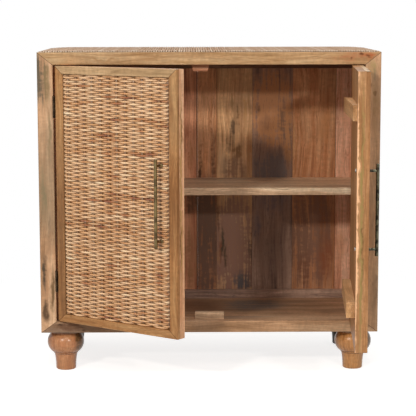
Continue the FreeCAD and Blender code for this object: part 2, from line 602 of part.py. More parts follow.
def woven_panel(label, side):
    """Woven panel: a flat-backed web that swells where its strands pass in front of a stake.

    A swelling stands on every second stake of a band, and on the other stakes in the next band.
    Each stake first gets a full-height swelling, and every second band is then cut from it.
    """
    body = new_body(label, on_door(side, x=PANEL_X, y=PANEL_MIDDLE, z=PANEL_Z))
    width = f"({side} * {PANEL_WIDTH})"
    back, half_swell = "(Sizes.panel_thickness / 2)", "(Sizes.stake_swell / 2)"
    face = f"({back} - Sizes.panel_valley)"
    pad(body, outline(body, "XY_Plane", (("0", face), (width, face), (width, back), ("0", back)),
                      "Web"), PANEL_HEIGHT)
    left = f"({side} * Sizes.stake_offset - {half_swell})"
    right = f"({side} * Sizes.stake_offset + {half_swell})"
    rise = "(Sizes.panel_thickness - Sizes.panel_valley)"
    bow = f"({rise} / 2 + {half_swell} ^ 2 / 2 / {rise})"
    inside = f"({back} - Sizes.panel_valley / 2)"
    swelling = outline(body, "XY_Plane",
                       ((left, face, bow), (right, face), (right, inside), (left, inside)), "Swelling")
    more_stakes = f"floor(({PANEL_WIDTH} - Sizes.stake_offset - {half_swell}) / Sizes.stake_pitch)"
    repeat(body, pad(body, swelling, PANEL_HEIGHT), swelling, side < 0, "Sizes.stake_pitch",
           more_stakes)
    band = f"({PANEL_HEIGHT} / Sizes.weave_bands)"
    for first in (0, 1):
        middle = f"{side} * (Sizes.stake_offset + {first} * Sizes.stake_pitch)"
        sketch = new_sketch(body, "XZ_Plane", "Bands")
        for count, row in enumerate(range(1 - first, int(number("Sizes.weave_bands")), 2)):
            rectangle(sketch, 4 * count, (f"({middle} - Sizes.stake_pitch / 2)", f"{row} * {band}"),
                      (f"({middle} + Sizes.stake_pitch / 2)", f"{row + 1} * {band}"))
        notches = pocket(body, sketch, "Sizes.panel_thickness", reverse=True)
        repeat(body, notches, sketch, side < 0, "2 * Sizes.stake_pitch",
               f"floor(({more_stakes} - {first}) / 2)")
    holes = [(f"{side} * ({x} - {PANEL_X})", f"{z} - {PANEL_Z}") for x, z in POST_PLACES]
    bores = circles(body, "XZ_Plane", holes, "Sizes.post_radius + Sizes.post_clearance")
    through = pocket(body, bores, "2 * Sizes.panel_thickness")
    through.Midplane = True
    doc.recompute()
    return body


def ledge(label, side, z, tip):
    """Batten on the inner face of the door; its outer end may be thinner than its hinge end."""
    body = new_body(label, on_door(side, y=DOOR_THICKNESS, z=z))
    near, far = "Sizes.ledge_start", "(Sizes.ledge_start + Sizes.ledge_length)"
    pad(body, outline(body, "XY_Plane", ((f"{side} * {near}", "0"), (f"{side} * {far}", "0"),
                                         (f"{side} * {far}", tip),
                                         (f"{side} * {near}", "Sizes.ledge_thickness"))),
        "Sizes.ledge_height")
    ease(body, "Sizes.ledge_round",
         lambda edge: not along(edge, 2) and not level(edge, 1, "0")
         and abs(edge.Vertexes[0].Point.y) > 1e-4 and abs(edge.Vertexes[-1].Point.y) > 1e-4)
    return body


def handle(name, side):
    """Bar on two posts, with a screw through the board into each post."""
    bar_y = "-Sizes.bar_standoff"
    bar_foot = f"{BAR_MIDDLE} - Sizes.bar_length / 2"
    bar = primitive("Part::Cylinder", on_door(side, BAR_PLACE, bar_y, bar_foot),
                    Radius="Sizes.bar_radius", Height="Sizes.bar_length")
    doc.recompute()
    rounded = doc.addObject("Part::Fillet", f"{name}_handle_bar")
    rounded.Base = bar
    radius = number("Sizes.bar_round")
    rounded.Edges = [(index, radius, radius) for index, edge in enumerate(bar.Shape.Edges, start=1)
                     if edge.Closed]
    keep(rounded, f"{name}_handle_bar")
    posts, screws = [], []
    for x, z in POST_PLACES:
        shank = primitive("Part::Cylinder", on_door(side, x, bar_y, z, LIE_ALONG_Y),
                          Radius="Sizes.post_radius",
                          Height="Sizes.bar_standoff + Sizes.door_frame_thickness")
        flare = primitive("Part::Cone",
                          on_door(side, x, "Sizes.door_frame_thickness - Sizes.panel_clearance"
                                           " - Sizes.panel_thickness - Sizes.post_foot_height",
                                  z, LIE_ALONG_Y),
                          Radius1="Sizes.post_radius", Radius2="Sizes.post_foot_radius",
                          Height="Sizes.post_foot_height")
        saddle = primitive("Part::Cylinder", on_door(side, BAR_PLACE, bar_y, bar_foot),
                           Radius="Sizes.bar_radius", Height="Sizes.bar_length")
        bore = primitive("Part::Cylinder",
                         on_door(side, x, "Sizes.door_frame_thickness - Sizes.screw_grip"
                                          " - Sizes.screw_fit", z, LIE_ALONG_Y),
                         Radius="Sizes.screw_radius + Sizes.screw_fit",
                         Height="Sizes.screw_grip + 2 * Sizes.screw_fit")
        posts.append(cut(cut(fuse([shank, flare]), saddle), bore))
        stem = primitive("Part::Cylinder",
                         on_door(side, x, "Sizes.door_frame_thickness - Sizes.screw_grip",
                                 z, LIE_ALONG_Y),
                         Radius="Sizes.screw_radius",
                         Height="Sizes.screw_grip + Sizes.door_board_thickness")
        head = primitive("Part::Cylinder", on_door(side, x, DOOR_THICKNESS, z, LIE_ALONG_Y),
                         Radius="Sizes.screw_head_radius", Height="Sizes.screw_head_height")
        screws.append(fuse([stem, head]))
    group(f"{name}_handle_posts", posts)
    group(f"{name}_handle_screws", screws)


# ---------------------------------------------------------------------------------------------
# Butt hinges: two knuckles on the frame leaf, one between them on the door leaf, and a pin
# ---------------------------------------------------------------------------------------------
HINGE_HEIGHTS = ("(Sizes.hinge_end_distance - Sizes.leaf_height / 2)",
                 f"({DOOR_HEIGHT} - Sizes.hinge_end_distance - Sizes.leaf_height / 2)")
THIRD = "(Sizes.leaf_height / 3)"


def leaf(place, outward, knuckles, bore_radius):
    """Hinge leaf about its pin axis: a plate beside the gap's wall, tangs and knuckles, bored."""
    gap = "(Sizes.door_side_gap / 2)"
    inner = f"({outward} * {gap} - Sizes.leaf_thickness * {1 if outward > 0 else 0})"
    solids = [primitive("Part::Box", place(inner, "Sizes.hinge_proud", "0"),
                        Length="Sizes.leaf_thickness", Width="Sizes.leaf_width",
                        Height="Sizes.leaf_height")]
    for low, tall in knuckles:
        solids.append(primitive("Part::Box", place(inner, "0", low), Length="Sizes.leaf_thickness",
                                Width="Sizes.hinge_proud + Sizes.leaf_thickness", Height=tall))
        solids.append(primitive("Part::Cylinder", place("0", "0", low),
                                Radius="Sizes.knuckle_radius", Height=tall))
    bore = primitive("Part::Cylinder", place("0", "0", "0"), Radius=bore_radius,
                     Height="Sizes.leaf_height")
    return cut(fuse(solids), bore)


def hinges(name, side):
    """Both butt hinges of one door: leaves on the frame, leaves on the door, and pins."""
    frame_leaves, door_leaves, pins = [], [], []
    bore = "(Sizes.pin_radius + Sizes.pin_fit)"
    for foot in HINGE_HEIGHTS:
        def on_frame(x, y, z, foot=foot):
            """From the pin's lower end, in the frame's directions."""
            return (f"placement(vector({-side} * {HINGE_X} + {x};"
                    f" {FRONT} - Sizes.hinge_proud + {y}; {DOOR_BOTTOM} + {foot} + {z}); {NO_TURN})")

        def on_leaf(x, y, z, foot=foot):
            """From the pin's lower end, turned with the door."""
            turn = f"rotation(vector(0; 0; 1); {-side} * Sizes.{name}_door_angle)"
            return (f"placement(vector({-side} * {HINGE_X}; {FRONT} - Sizes.hinge_proud;"
                    f" {DOOR_BOTTOM} + {foot}); {turn}) * placement(vector({x}; {y}; {z}); {NO_TURN})")

        outer = [("0", THIRD), (f"2 * {THIRD}", THIRD)]
        inner = [(f"{THIRD} + Sizes.knuckle_gap", f"{THIRD} - 2 * Sizes.knuckle_gap")]
        frame_leaves.append(leaf(on_frame, -side, outer, bore))
        door_leaves.append(leaf(on_leaf, side, inner, bore))
        pins.append(primitive("Part::Cylinder", on_frame("0", "0", "0"), Radius="Sizes.pin_radius",
                              Height="Sizes.leaf_height"))
    group(f"{name}_hinge_frame_leaves", frame_leaves)
    group(f"{name}_hinge_door_leaves", door_leaves)
    group(f"{name}_hinge_pins", pins)


for name, side in (("left", 1), ("right", -1)):
    door_board(f"{name}_door_board", side)
    mitred_frame(
        (f"{name}_door_hinge_stile", f"{name}_door_meeting_stile", f"{name}_door_top_rail",
         f"{name}_door_bottom_rail"),
        on_door(side), side, DOOR_WIDTH, DOOR_HEIGHT, "Sizes.door_stile_width",
        "Sizes.door_rail_height", "Sizes.door_rail_height", "Sizes.door_frame_thickness",
        "Sizes.door_round")
    woven_panel(f"{name}_woven_panel", side)
    ledge(f"{name}_upper_ledge", side,
          f"{DOOR_HEIGHT} - Sizes.ledge_end_distance - Sizes.ledge_height", "Sizes.upper_ledge_tip")
    ledge(f"{name}_lower_ledge", side, "Sizes.ledge_end_distance", "Sizes.lower_ledge_tip")
    handle(name, side)
    hinges(name, side)

# ---------------------------------------------------------------------------------------------
# Check every object, then write each sub-part
# ---------------------------------------------------------------------------------------------
doc.recompute()
for item in doc.Objects:
    if "Invalid" in item.State or "Error" in item.State:
        raise ValueError(f"{item.Label}: {item.State}")
for part in parts:
    if part.Shape.isNull() or not part.Shape.isValid():
        raise ValueError(f"{part.Label}: no valid shape")

os.makedirs("parts", exist_ok=True)
for part in parts:
    part.Shape.exportStep(f"parts/{part.Label}.step")
print(f"{len(parts)} sub-parts, {sum(len(part.Shape.Solids) for part in parts)} solids")
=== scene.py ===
# %% [markdown]
# A two-door cabinet in mango wood and woven rattan.
#
# The construction is a fixed frame: every board, foot, hinge leaf and handle is already there at
# its real size.  What follows gives each of them its finish, smooths the turned feet, weaves the
# rattan strand by strand and sets the light.  All lengths are in metres, X runs to the right, Y to
# the back and Z up.

# %% Load the frame
import json
import math

import bmesh
import bpy
import numpy as np
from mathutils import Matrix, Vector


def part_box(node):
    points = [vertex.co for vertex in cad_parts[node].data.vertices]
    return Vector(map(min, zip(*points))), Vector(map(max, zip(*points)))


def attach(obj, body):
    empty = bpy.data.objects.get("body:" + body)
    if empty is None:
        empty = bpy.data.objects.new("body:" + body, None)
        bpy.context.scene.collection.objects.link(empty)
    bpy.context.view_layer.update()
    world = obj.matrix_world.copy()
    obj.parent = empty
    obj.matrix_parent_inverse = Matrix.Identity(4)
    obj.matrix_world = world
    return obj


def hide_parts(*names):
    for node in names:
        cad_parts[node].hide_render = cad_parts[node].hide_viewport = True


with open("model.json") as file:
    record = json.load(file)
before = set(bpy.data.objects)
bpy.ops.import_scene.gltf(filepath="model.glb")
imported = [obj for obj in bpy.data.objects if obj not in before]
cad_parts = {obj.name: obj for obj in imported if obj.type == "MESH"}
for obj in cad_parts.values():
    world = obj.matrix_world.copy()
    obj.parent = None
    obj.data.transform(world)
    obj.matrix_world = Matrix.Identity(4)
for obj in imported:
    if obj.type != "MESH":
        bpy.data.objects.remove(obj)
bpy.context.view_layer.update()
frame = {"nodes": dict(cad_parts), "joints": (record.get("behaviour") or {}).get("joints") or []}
MM = 0.001
CARCASS, LEFT_DOOR, RIGHT_DOOR = "carcass", "left_door", "right_door"

# %% [markdown]
# A camera is a pinhole with a place, a direction and a focal length.  This one stands 3.8 metres in
# front of the cabinet's middle, a hand's width above its top, and looks slightly down, so that a
# sliver of the top shows.  The focal length and the upward shift of the picture are in pixels of a
# picture that is 416 pixels wide.

# %% Camera
PICTURE_WIDTH, FOCAL_PIXELS, SHIFT_PIXELS = 416, 1554.2, 32
SENSOR_MM = 36
CAMERA_PLACE = (-0.0429, -3.8158, 0.8577)
CAMERA_YAW, CAMERA_PITCH, CAMERA_ROLL = 0.0111, 0.1472, 0.0016

camera_data = bpy.data.cameras.new("camera")
camera_data.sensor_width = SENSOR_MM
camera_data.lens = FOCAL_PIXELS * SENSOR_MM / PICTURE_WIDTH
camera_data.shift_y = SHIFT_PIXELS / PICTURE_WIDTH
camera = bpy.data.objects.new("camera", camera_data)
camera.location = CAMERA_PLACE
camera.rotation_euler = (math.pi / 2 - CAMERA_PITCH, CAMERA_ROLL, -CAMERA_YAW)
bpy.context.scene.collection.objects.link(camera)
bpy.context.scene.camera = camera
print("lens:", round(camera_data.lens, 1), "mm")

# %% [markdown]
# Colours are picked as people see them, in sRGB, but the renderer adds up light, so it wants linear
# values.  One function makes that step for every colour in the file.
#
# A material is a network of shader nodes.  Wired by hand, each node takes several calls, so one
# function makes them all: it adds a node, sets its options, types in what is a number or a colour
# and links what is another node.  Sockets go by name, or by number where names repeat: a Map Range
# takes a value (0), the two ends it lies between (1, 2) and what they become (3, 4), and a colour
# Mix takes a factor (0) and two colours (6, 7).  With the SMOOTH option a Map Range eases in and
# out, so a pattern that it makes has no hard edge.


# %% Colour and node helpers
def linear(code):
    """sRGB hex code to linear RGBA: c / 12.92 near black, else ((c + 0.055) / 1.055) ^ 2.4."""
    srgb = [int(code[i:i + 2], 16) / 255 for i in (1, 3, 5)]
    return [c / 12.92 if c <= 0.04045 else ((c + 0.055) / 1.055) ** 2.4 for c in srgb] + [1.0]


def fill(tree, node, sockets):
    """Link each socket to a node's output (the first in use, for a bare node) or type its value in."""
    for key, value in sockets.items():
        if isinstance(value, bpy.types.Node):
            value = next(output for output in value.outputs if output.enabled)
        if isinstance(value, bpy.types.NodeSocket):
            tree.links.new(value, node.inputs[key])
        else:
            node.inputs[key].default_value = value


def add(tree, kind, sockets=None, stops=(), **options):
    """Add one shader node; stops are the (position, hex code) pairs of a colour ramp."""
    node = tree.nodes.new("ShaderNode" + kind)
    for option, value in options.items():
        setattr(node, option, value)
    for _ in stops[2:]:
        node.color_ramp.elements.new(0.5)
    for number, (position, code) in enumerate(stops):
        node.color_ramp.elements[number].position = position
        node.color_ramp.elements[number].color = linear(code)
    fill(tree, node, sockets or {})
    return node


def new_material(name):
    """Material with an empty tree and its Principled shader, which is linked to the output."""
    material = bpy.data.materials.new(name)
    material.use_nodes = True
    tree = material.node_tree
    tree.nodes.clear()
    shader = add(tree, "BsdfPrincipled")
    add(tree, "OutputMaterial", {"Surface": shader})
    return material, tree, shader


SMOOTH = {"interpolation_type": "SMOOTHSTEP"}
COLOURS = {"data_type": "RGBA"}
print("sRGB #808080 is", round(linear("#808080")[0], 3), "in linear light")

# %% [markdown]
# The doors stand open, so a pattern or a strand that follows a door has to be worked out in the
# door's own directions: x from its hinge edge, y into its thickness, z up.  Both come from the
# hinge joint: its place, and its lower limit, which is the angle back to the closed door.


# %% Door space
def turned(points, angle):
    """Points turned about Z: (x cos a - y sin a, x sin a + y cos a, z)."""
    c, s = math.cos(angle), math.sin(angle)
    return points @ np.array(((c, s, 0), (-s, c, 0), (0, 0, 1)))


def corners_of(mesh):
    """The mesh's vertices as rows of x, y, z."""
    places = np.empty(len(mesh.vertices) * 3)
    mesh.vertices.foreach_get("co", places)
    return places.reshape(-1, 3)


class Door:
    """A door's own directions, from its hinge joint; side is +1 for left and -1 for right."""

    def __init__(self, name, side):
        joint = next(joint for joint in frame["joints"] if joint["child"] == name)
        self.name, self.short, self.side = name, name.split("_")[0], side
        self.pivot = np.array(joint["pos_m"][:2] + [0.0])
        self.turn = side * math.radians(joint["range_deg"][0])

    def to_world(self, points):
        """Mirror x for the right door, turn about the hinge by the open angle, move to the pivot."""
        return turned(points * (self.side, 1, 1), self.turn) + self.pivot

    def to_door(self, points):
        """The way back from to_world."""
        return turned(points - self.pivot, -self.turn) * (self.side, 1, 1)

    def box(self, node):
        """Lowest and highest corner of a CAD node in the door's own directions."""
        local = self.to_door(corners_of(frame["nodes"][node].data))
        return local.min(0), local.max(0)


doors = (Door(LEFT_DOOR, 1), Door(RIGHT_DOOR, -1))
for door in doors:
    print(door.name, "stands open by", round(abs(math.degrees(door.turn)), 1), "degrees")

# %% [markdown]
# Mango wood is sawn from a tree that grows fast, so its boards differ: golden, peach or brown, with
# darker bands where the growth rings run out of the face.  A maker sorts the boards by tone before
# gluing up.  Each tone here is three colours: of the dark bands, of the body and of the light
# streaks.

# %% Tones of mango wood
TONES = {
    "golden": ("#8a643c", "#bd956b", "#d8b58a"),
    "peach": ("#9c6a45", "#c59468", "#deb28a"),
    "tan": ("#8f6c4d", "#b9906d", "#d3ae8b"),
    "brown": ("#54382a", "#8f6446", "#b0845f"),
    "umber": ("#45332a", "#735443", "#94705a"),
    "slate": ("#5f4e47", "#987a69", "#bd9d88"),
    "pink": ("#8a5740", "#b97f5e", "#d29f7e"),
    "toffee": ("#764b2d", "#aa774b", "#c99a69"),
    "biscuit": ("#8a5c38", "#af7d53", "#ca9a6f"),
    "amber": ("#835137", "#bd8159", "#d8a47a"),
    "pale": ("#a3714b", "#dcab7c", "#f4cf9f"),
    "coral": ("#b0704c", "#e0a57c", "#f2c29b"),
    "wheat": ("#a87a50", "#cf9f70", "#e4bb8e"),
    "straw": ("#9f7756", "#c89b76", "#deb793"),
    "linen": ("#a5866a", "#dab692", "#efd3b0"),
    "hazel": ("#9e5c41", "#eba57c", "#fec499"),
    "rose": ("#a86c51", "#d79b7a", "#edbc9c"),
    "ash": ("#997955", "#cea97f", "#e6c99f"),
    "lacquered": ("#9c5f3a", "#bd7e53", "#cf9669"),
    "golden_lacquer": ("#a06636", "#c38850", "#d29c66"),
    # Painted shade: the back feet's tone stands for the shade under the cabinet.
    "shade_dark_lacquer": ("#21150e", "#342116", "#462e1e"),
}
print(len(TONES), "tones of mango wood")

# %% [markdown]
# An image of a board would repeat; noise doesn't.  The trick for wood is to stretch the noise along
# the grain.  Each layer below is the same noise at another real width: bands of 30 mm, veins of
# 26 mm, streaks of 7 mm, fibres and pores of about 2 mm.  Real fibres and pores are finer, and these
# are as coarse as they need to be to show from a few metres away.
#
# Every board turns the pattern to its own grain and takes its own piece of the endless noise, as
# boards that are cut from different planks do.

# %% Grain helpers
# Each layer's width across the grain, how many times longer it is along it, detail and roughness.
BAND = (30 * MM, 14, 3, 0.55)
STREAK = (7 * MM, 22, 3, 0.6)
FIBRE = (2.2 * MM, 30, 2, 0.6)
PORE = (1.6 * MM, 9, 1, 0.5)
VEIN = (26 * MM, 22, 4, 0.6)
RIPPLE = (16 * MM, 1 / 2.2, 3, 0.5)
STAIN = (170 * MM, 2.5, 3, 0.5)
PLANK_SPREAD = 3


def grain_coordinates(tree, grain, seed, door=None):
    """The piece's own coordinates, and the same as (along the grain, across, across) plus an offset."""
    source = add(tree, "TexCoord").outputs["Object"]
    if door is not None:
        source = add(tree, "Mapping", {"Vector": source, "Location": -turned(door.pivot, -door.turn),
                                       "Rotation": (0, 0, -door.turn)})
    parts = add(tree, "SeparateXYZ", {"Vector": source}).outputs
    order = {"X": "XYZ", "Y": "YXZ", "Z": "ZXY"}[grain]
    along = add(tree, "CombineXYZ", {axis: parts[letter] for axis, letter in zip("XYZ", order)})
    offset = np.random.default_rng(seed).uniform(-PLANK_SPREAD, PLANK_SPREAD, 3)
    return source, add(tree, "VectorMath", {0: along, 1: offset})


def grain_noise(tree, place, layer):
    """Noise with a layer's width across the grain, drawn out along it."""
    width, stretch, detail, roughness = layer
    squeezed = add(tree, "VectorMath", {0: place, 1: (1 / stretch, 1, 1)}, operation="MULTIPLY")
    return add(tree, "TexNoise", {"Vector": squeezed, "Scale": 1 / width, "Detail": detail,
                                  "Roughness": roughness})


def wavy(tree, place, amounts, size, detail):
    """Place pushed by noise of a size, by up to half of each of the three amounts."""
    push = add(tree, "TexNoise", {"Vector": place, "Scale": 1 / size, "Detail": detail}).outputs["Color"]
    centred = add(tree, "VectorMath", {0: push, 1: (0.5, 0.5, 0.5)}, operation="SUBTRACT")
    scaled = add(tree, "VectorMath", {0: centred, 1: amounts}, operation="MULTIPLY")
    return add(tree, "VectorMath", {0: place, 1: scaled})


print("grain layers:", [round(layer[0] / MM, 1) for layer in (BAND, STREAK, FIBRE, PORE)], "mm wide")

# %% [markdown]
# Mango boards have knots, grey-green stains from the sap and pale patches, and each sits where the
# board was cut.  A spot is an ellipsoid in which another colour takes over.  Its rim is torn by
# noise, and the streaks decide how much of it shows, so that it frays along the grain as a stain
# does.  A seam, such as a mitre, is a thin dark line where the distance to a plane is small.  On the
# feet, the same spots and dark lines paint shade and shadow.

# %% Knots, stains, seams and painted shade
SEAM_AND_SHADE_COLOUR, SEAM_AND_SHADE_STRENGTH = "#2a1a12", 0.85
MITRE_LINE = 0.25 * MM
TEAR, TEAR_SIZE, TEAR_DETAIL = (14 * MM, 14 * MM, 30 * MM), 22 * MM, 2.5
STREAK_FRAY, RIPPLE_FRAY = 1.2, 0.5
FRAYED = {1: 0.6, 2: 1.08, 3: 0.25, 4: 1.15}
SPOT_FADE, SPOT_FULL = {1: 0.15, 2: 1.15, 3: 1, 4: 0}, 1.15
THROUGH_BOARD = 200


def spots(y, *rows, half_y=THROUGH_BOARD):
    """Spots on the plane y: each row is x, z, half width and half height in mm, colour, strength."""
    return [((x * MM, y, z * MM), (half_x * MM, half_y * MM, half_z * MM), code, strength)
            for x, z, half_x, half_z, code, strength in rows]


def near_point(tree, source, point, reach):
    """1 in the middle of an ellipsoid round a point, fading to 0; reach is its three half lengths."""
    away = add(tree, "VectorMath", {0: source, 1: point}, operation="SUBTRACT")
    scaled = add(tree, "VectorMath", {0: away, 1: reach}, operation="DIVIDE")
    length = add(tree, "VectorMath", {0: scaled}, operation="LENGTH")
    return add(tree, "MapRange", {0: length, **SPOT_FADE}, **SMOOTH)


def add_spots(tree, colour, rows, source, streak, ripple):
    """Colour with the spots mixed in, one after the other; a strength over 1 hardens a spot's rim."""
    torn = wavy(tree, source, TEAR, TEAR_SIZE, TEAR_DETAIL)
    figure = add(tree, "Math", {0: ripple, 1: RIPPLE_FRAY}, operation="MULTIPLY")
    figure = add(tree, "Math", {0: streak, 1: STREAK_FRAY, 2: figure}, operation="MULTIPLY_ADD")
    frayed = add(tree, "MapRange", {0: figure, **FRAYED}, **SMOOTH)
    for point, reach, code, strength in rows:
        share = add(tree, "Math", {0: near_point(tree, torn, point, reach), 1: frayed}, operation="MULTIPLY")
        share = add(tree, "MapRange", {0: share, 2: SPOT_FULL / max(strength, 1), 4: min(strength, 1)},
                    **SMOOTH)
        colour = add(tree, "Mix", {0: share, 6: colour, 7: linear(code)}, **COLOURS)
    return colour


def add_seams(tree, colour, seams, source):
    """Colour with dark lines, for seams and for painted shade.

    Each is a point and the normal of its plane, and a half width.
    """
    for point, normal, width in seams:
        away = add(tree, "VectorMath", {0: source, 1: point}, operation="SUBTRACT")
        depth = add(tree, "VectorMath", {0: away, 1: normal}, operation="DOT_PRODUCT")
        depth = add(tree, "Math", {0: depth}, operation="ABSOLUTE")
        line = add(tree, "MapRange", {0: depth, 1: width, 2: 3 * width, 3: SEAM_AND_SHADE_STRENGTH, 4: 0}, **SMOOTH)
        colour = add(tree, "Mix", {0: line, 6: colour, 7: linear(SEAM_AND_SHADE_COLOUR)}, **COLOURS)
    return colour


print("a mitre is a line of", round(2 * MITRE_LINE / MM, 2), "mm")

# %% [markdown]
# The boards have a satin lacquer over the bare figure of the wood.  The eye gets four things from
# that: bands and streaks of the growth rings, thin dark veins, pores that are small pits, and a soft
# shine with a little of the wood's own colour in it.  The colour is put together first, from broad
# to fine.

# %% Layers of the wood
BAND_SHARE, STREAK_SHARE = 0.62, 0.38
FIBRE_SHADE = {1: 0.3, 2: 0.7, 3: 0.86, 4: 1.1}
RIPPLE_SHADE = {1: 0.3, 2: 0.7, 3: 0.9, 4: 1.08}
VEIN_HALF_WIDTH, VEIN_GAPS = 0.022, {1: 0.35, 2: 0.6, 3: 0.2, 4: 1}


def shaded(tree, colour, share):
    """Colour times a share, which is the same for red, green and blue."""
    grey = add(tree, "CombineColor", {"Red": share, "Green": share, "Blue": share})
    return add(tree, "Mix", {0: 1.0, 6: colour, 7: grey}, blend_type="MULTIPLY", **COLOURS)


def ring_colour(tree, tone, bands, band, streak, fibre, ripple):
    """The tone's three colours over bands and streaks, shaded by the fibres and ripples."""
    dark, middle, light = TONES[tone]
    centre = 0.5 - (BAND_SHARE * bands + STREAK_SHARE) / 2
    figure = add(tree, "Math", {0: band, 1: BAND_SHARE * bands, 2: centre}, operation="MULTIPLY_ADD")
    figure = add(tree, "Math", {0: streak, 1: STREAK_SHARE, 2: figure}, operation="MULTIPLY_ADD")
    colour = add(tree, "ValToRGB", {"Fac": figure}, ((0.32, dark), (0.48, middle), (0.64, light)))
    fibres = add(tree, "MapRange", {0: fibre, **FIBRE_SHADE}, **SMOOTH)
    ripples = add(tree, "MapRange", {0: ripple, **RIPPLE_SHADE}, **SMOOTH)
    return shaded(tree, colour, add(tree, "Math", {0: fibres, 1: ripples}, operation="MULTIPLY"))


def add_veins(tree, colour, vein, ripple, strength, dark):
    """Colour with thin dark lines where the vein noise passes a half, with gaps from the ripples."""
    away = add(tree, "Math", {0: vein, 1: 0.5}, operation="SUBTRACT")
    away = add(tree, "Math", {0: away}, operation="ABSOLUTE")
    line = add(tree, "MapRange", {0: away, 2: VEIN_HALF_WIDTH, 3: strength, 4: 0}, **SMOOTH)
    gaps = add(tree, "MapRange", {0: ripple, **VEIN_GAPS}, **SMOOTH)
    share = add(tree, "Math", {0: line, 1: gaps}, operation="MULTIPLY")
    return add(tree, "Mix", {0: share, 6: colour, 7: linear(dark)}, **COLOURS)


print("figure:", BAND_SHARE, "bands and", STREAK_SHARE, "streaks")

# %% [markdown]
# The finish puts the layers on top of each other and adds the lacquer.  It is satin, so the
# roughness is 0.42 and follows the streaks a little.  Bump is enough for the fibres and pores,
# which are tenths of a millimetre deep.  A smoother lacquer is thicker and levels the relief of the
# fibres, so the bump fades with the fourth power of the roughness.

# %% Satin-lacquered mango wood
SATIN_ROUGHNESS, STREAK_ROUGHNESS = 0.42, 0.16
BEND, BEND_SIZE, BEND_DETAIL = (0, 22 * MM, 22 * MM), 150 * MM, 1
STAINED_FROM, STAINED_TO = 0.5, 0.68
PITS, PORE_DARKNESS, PORE_DEPTH = {1: 0.62, 2: 0.72}, 0.45, -0.6
RELIEF_DEPTH, RELIEF_STRENGTH, LEVELLING = 0.3 * MM, 0.35, 4


def mango_wood(name, tone, grain, seed, door=None, stain="#77705c", stain_amount=0.35, bands=1.0,
               veins=0.45, marks=(), joints=(), gloss=SATIN_ROUGHNESS, shine=0.3, reflection=None):
    """Mango wood: bands and streaks of growth rings, stains, veins, spots, pores and seams.

    marks comes from spots(), joints holds (point, normal, half width) of seams and of painted shade
    lines, both in the piece's own directions.  gloss is the roughness, shine the reflection's
    strength, reflection its tint.
    """
    dark, _, light = TONES[tone]
    material, tree, shader = new_material(name)
    source, place = grain_coordinates(tree, grain, seed, door)
    bent = wavy(tree, place, BEND, BEND_SIZE, BEND_DETAIL)
    band, streak, fibre, vein, patch = (
        grain_noise(tree, bent, layer) for layer in (BAND, STREAK, FIBRE, VEIN, STAIN))
    pore, ripple = (grain_noise(tree, place, layer) for layer in (PORE, RIPPLE))

    colour = ring_colour(tree, tone, bands, band, streak, fibre, ripple)
    stained = add(tree, "MapRange", {0: patch, 1: STAINED_FROM, 2: STAINED_TO, 4: stain_amount}, **SMOOTH)
    colour = add(tree, "Mix", {0: stained, 6: colour, 7: linear(stain)}, **COLOURS)
    colour = add_veins(tree, colour, vein, ripple, veins, dark)
    if marks:
        colour = add_spots(tree, colour, marks, source, streak, ripple)
    pits = add(tree, "MapRange", {0: pore, **PITS}, **SMOOTH)
    pit_share = add(tree, "Math", {0: pits, 1: PORE_DARKNESS}, operation="MULTIPLY")
    colour = add(tree, "Mix", {0: pit_share, 6: colour, 7: linear(dark)}, **COLOURS)
    colour = add_seams(tree, colour, joints, source)

    rough = add(tree, "Math", {0: streak, 1: STREAK_ROUGHNESS, 2: gloss - STREAK_ROUGHNESS / 2},
                operation="MULTIPLY_ADD")
    relief = add(tree, "Math", {0: pits, 1: PORE_DEPTH, 2: fibre}, operation="MULTIPLY_ADD")
    bump = add(tree, "Bump", {"Height": relief, "Strength": RELIEF_STRENGTH,
                              "Distance": RELIEF_DEPTH * (gloss / SATIN_ROUGHNESS) ** LEVELLING})
    fill(tree, shader, {"Base Color": colour, "Roughness": rough, "Normal": bump,
                        "Specular IOR Level": shine, "Specular Tint": linear(reflection or light)})
    return material


def wear(node, material):
    """Give a CAD node its finish."""
    mesh = frame["nodes"][node].data
    mesh.materials.clear()
    mesh.materials.append(material)


print("satin lacquer: roughness", SATIN_ROUGHNESS)

# %% [markdown]
# The front frame is the cabinet's face: four members that meet in mitres, so the grain turns a corner
# along a thin dark line.  Each member is its own board.  The left one is grey at its upper end, the
# top one has a knot with reddish wood round it at its right end, the bottom one is the brownest.

# %% Front frame
left_low, left_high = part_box("frame_left_stile")
right_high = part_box("frame_right_stile")[1]
rail_low, rail_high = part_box("frame_top_rail")
sill_low, sill_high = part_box("frame_bottom_rail")
FRONT = left_low.y
STILE, TOP_RAIL = left_high.x - left_low.x, rail_high.z - rail_low.z
BOTTOM_RAIL = sill_high.z - sill_low.z


def mitre(x, y, z, run_x, run_z):
    """Point, unit normal and half width of the seam that runs from a corner by (run_x, run_z)."""
    length = math.hypot(run_x, run_z)
    return (x, y, z), (run_z / length, 0, -run_x / length), MITRE_LINE


top_left = mitre(left_low.x, FRONT, left_high.z, STILE, -TOP_RAIL)
top_right = mitre(right_high.x, FRONT, left_high.z, -STILE, -TOP_RAIL)
bottom_left = mitre(left_low.x, FRONT, left_low.z, STILE, BOTTOM_RAIL)
bottom_right = mitre(right_high.x, FRONT, left_low.z, -STILE, BOTTOM_RAIL)

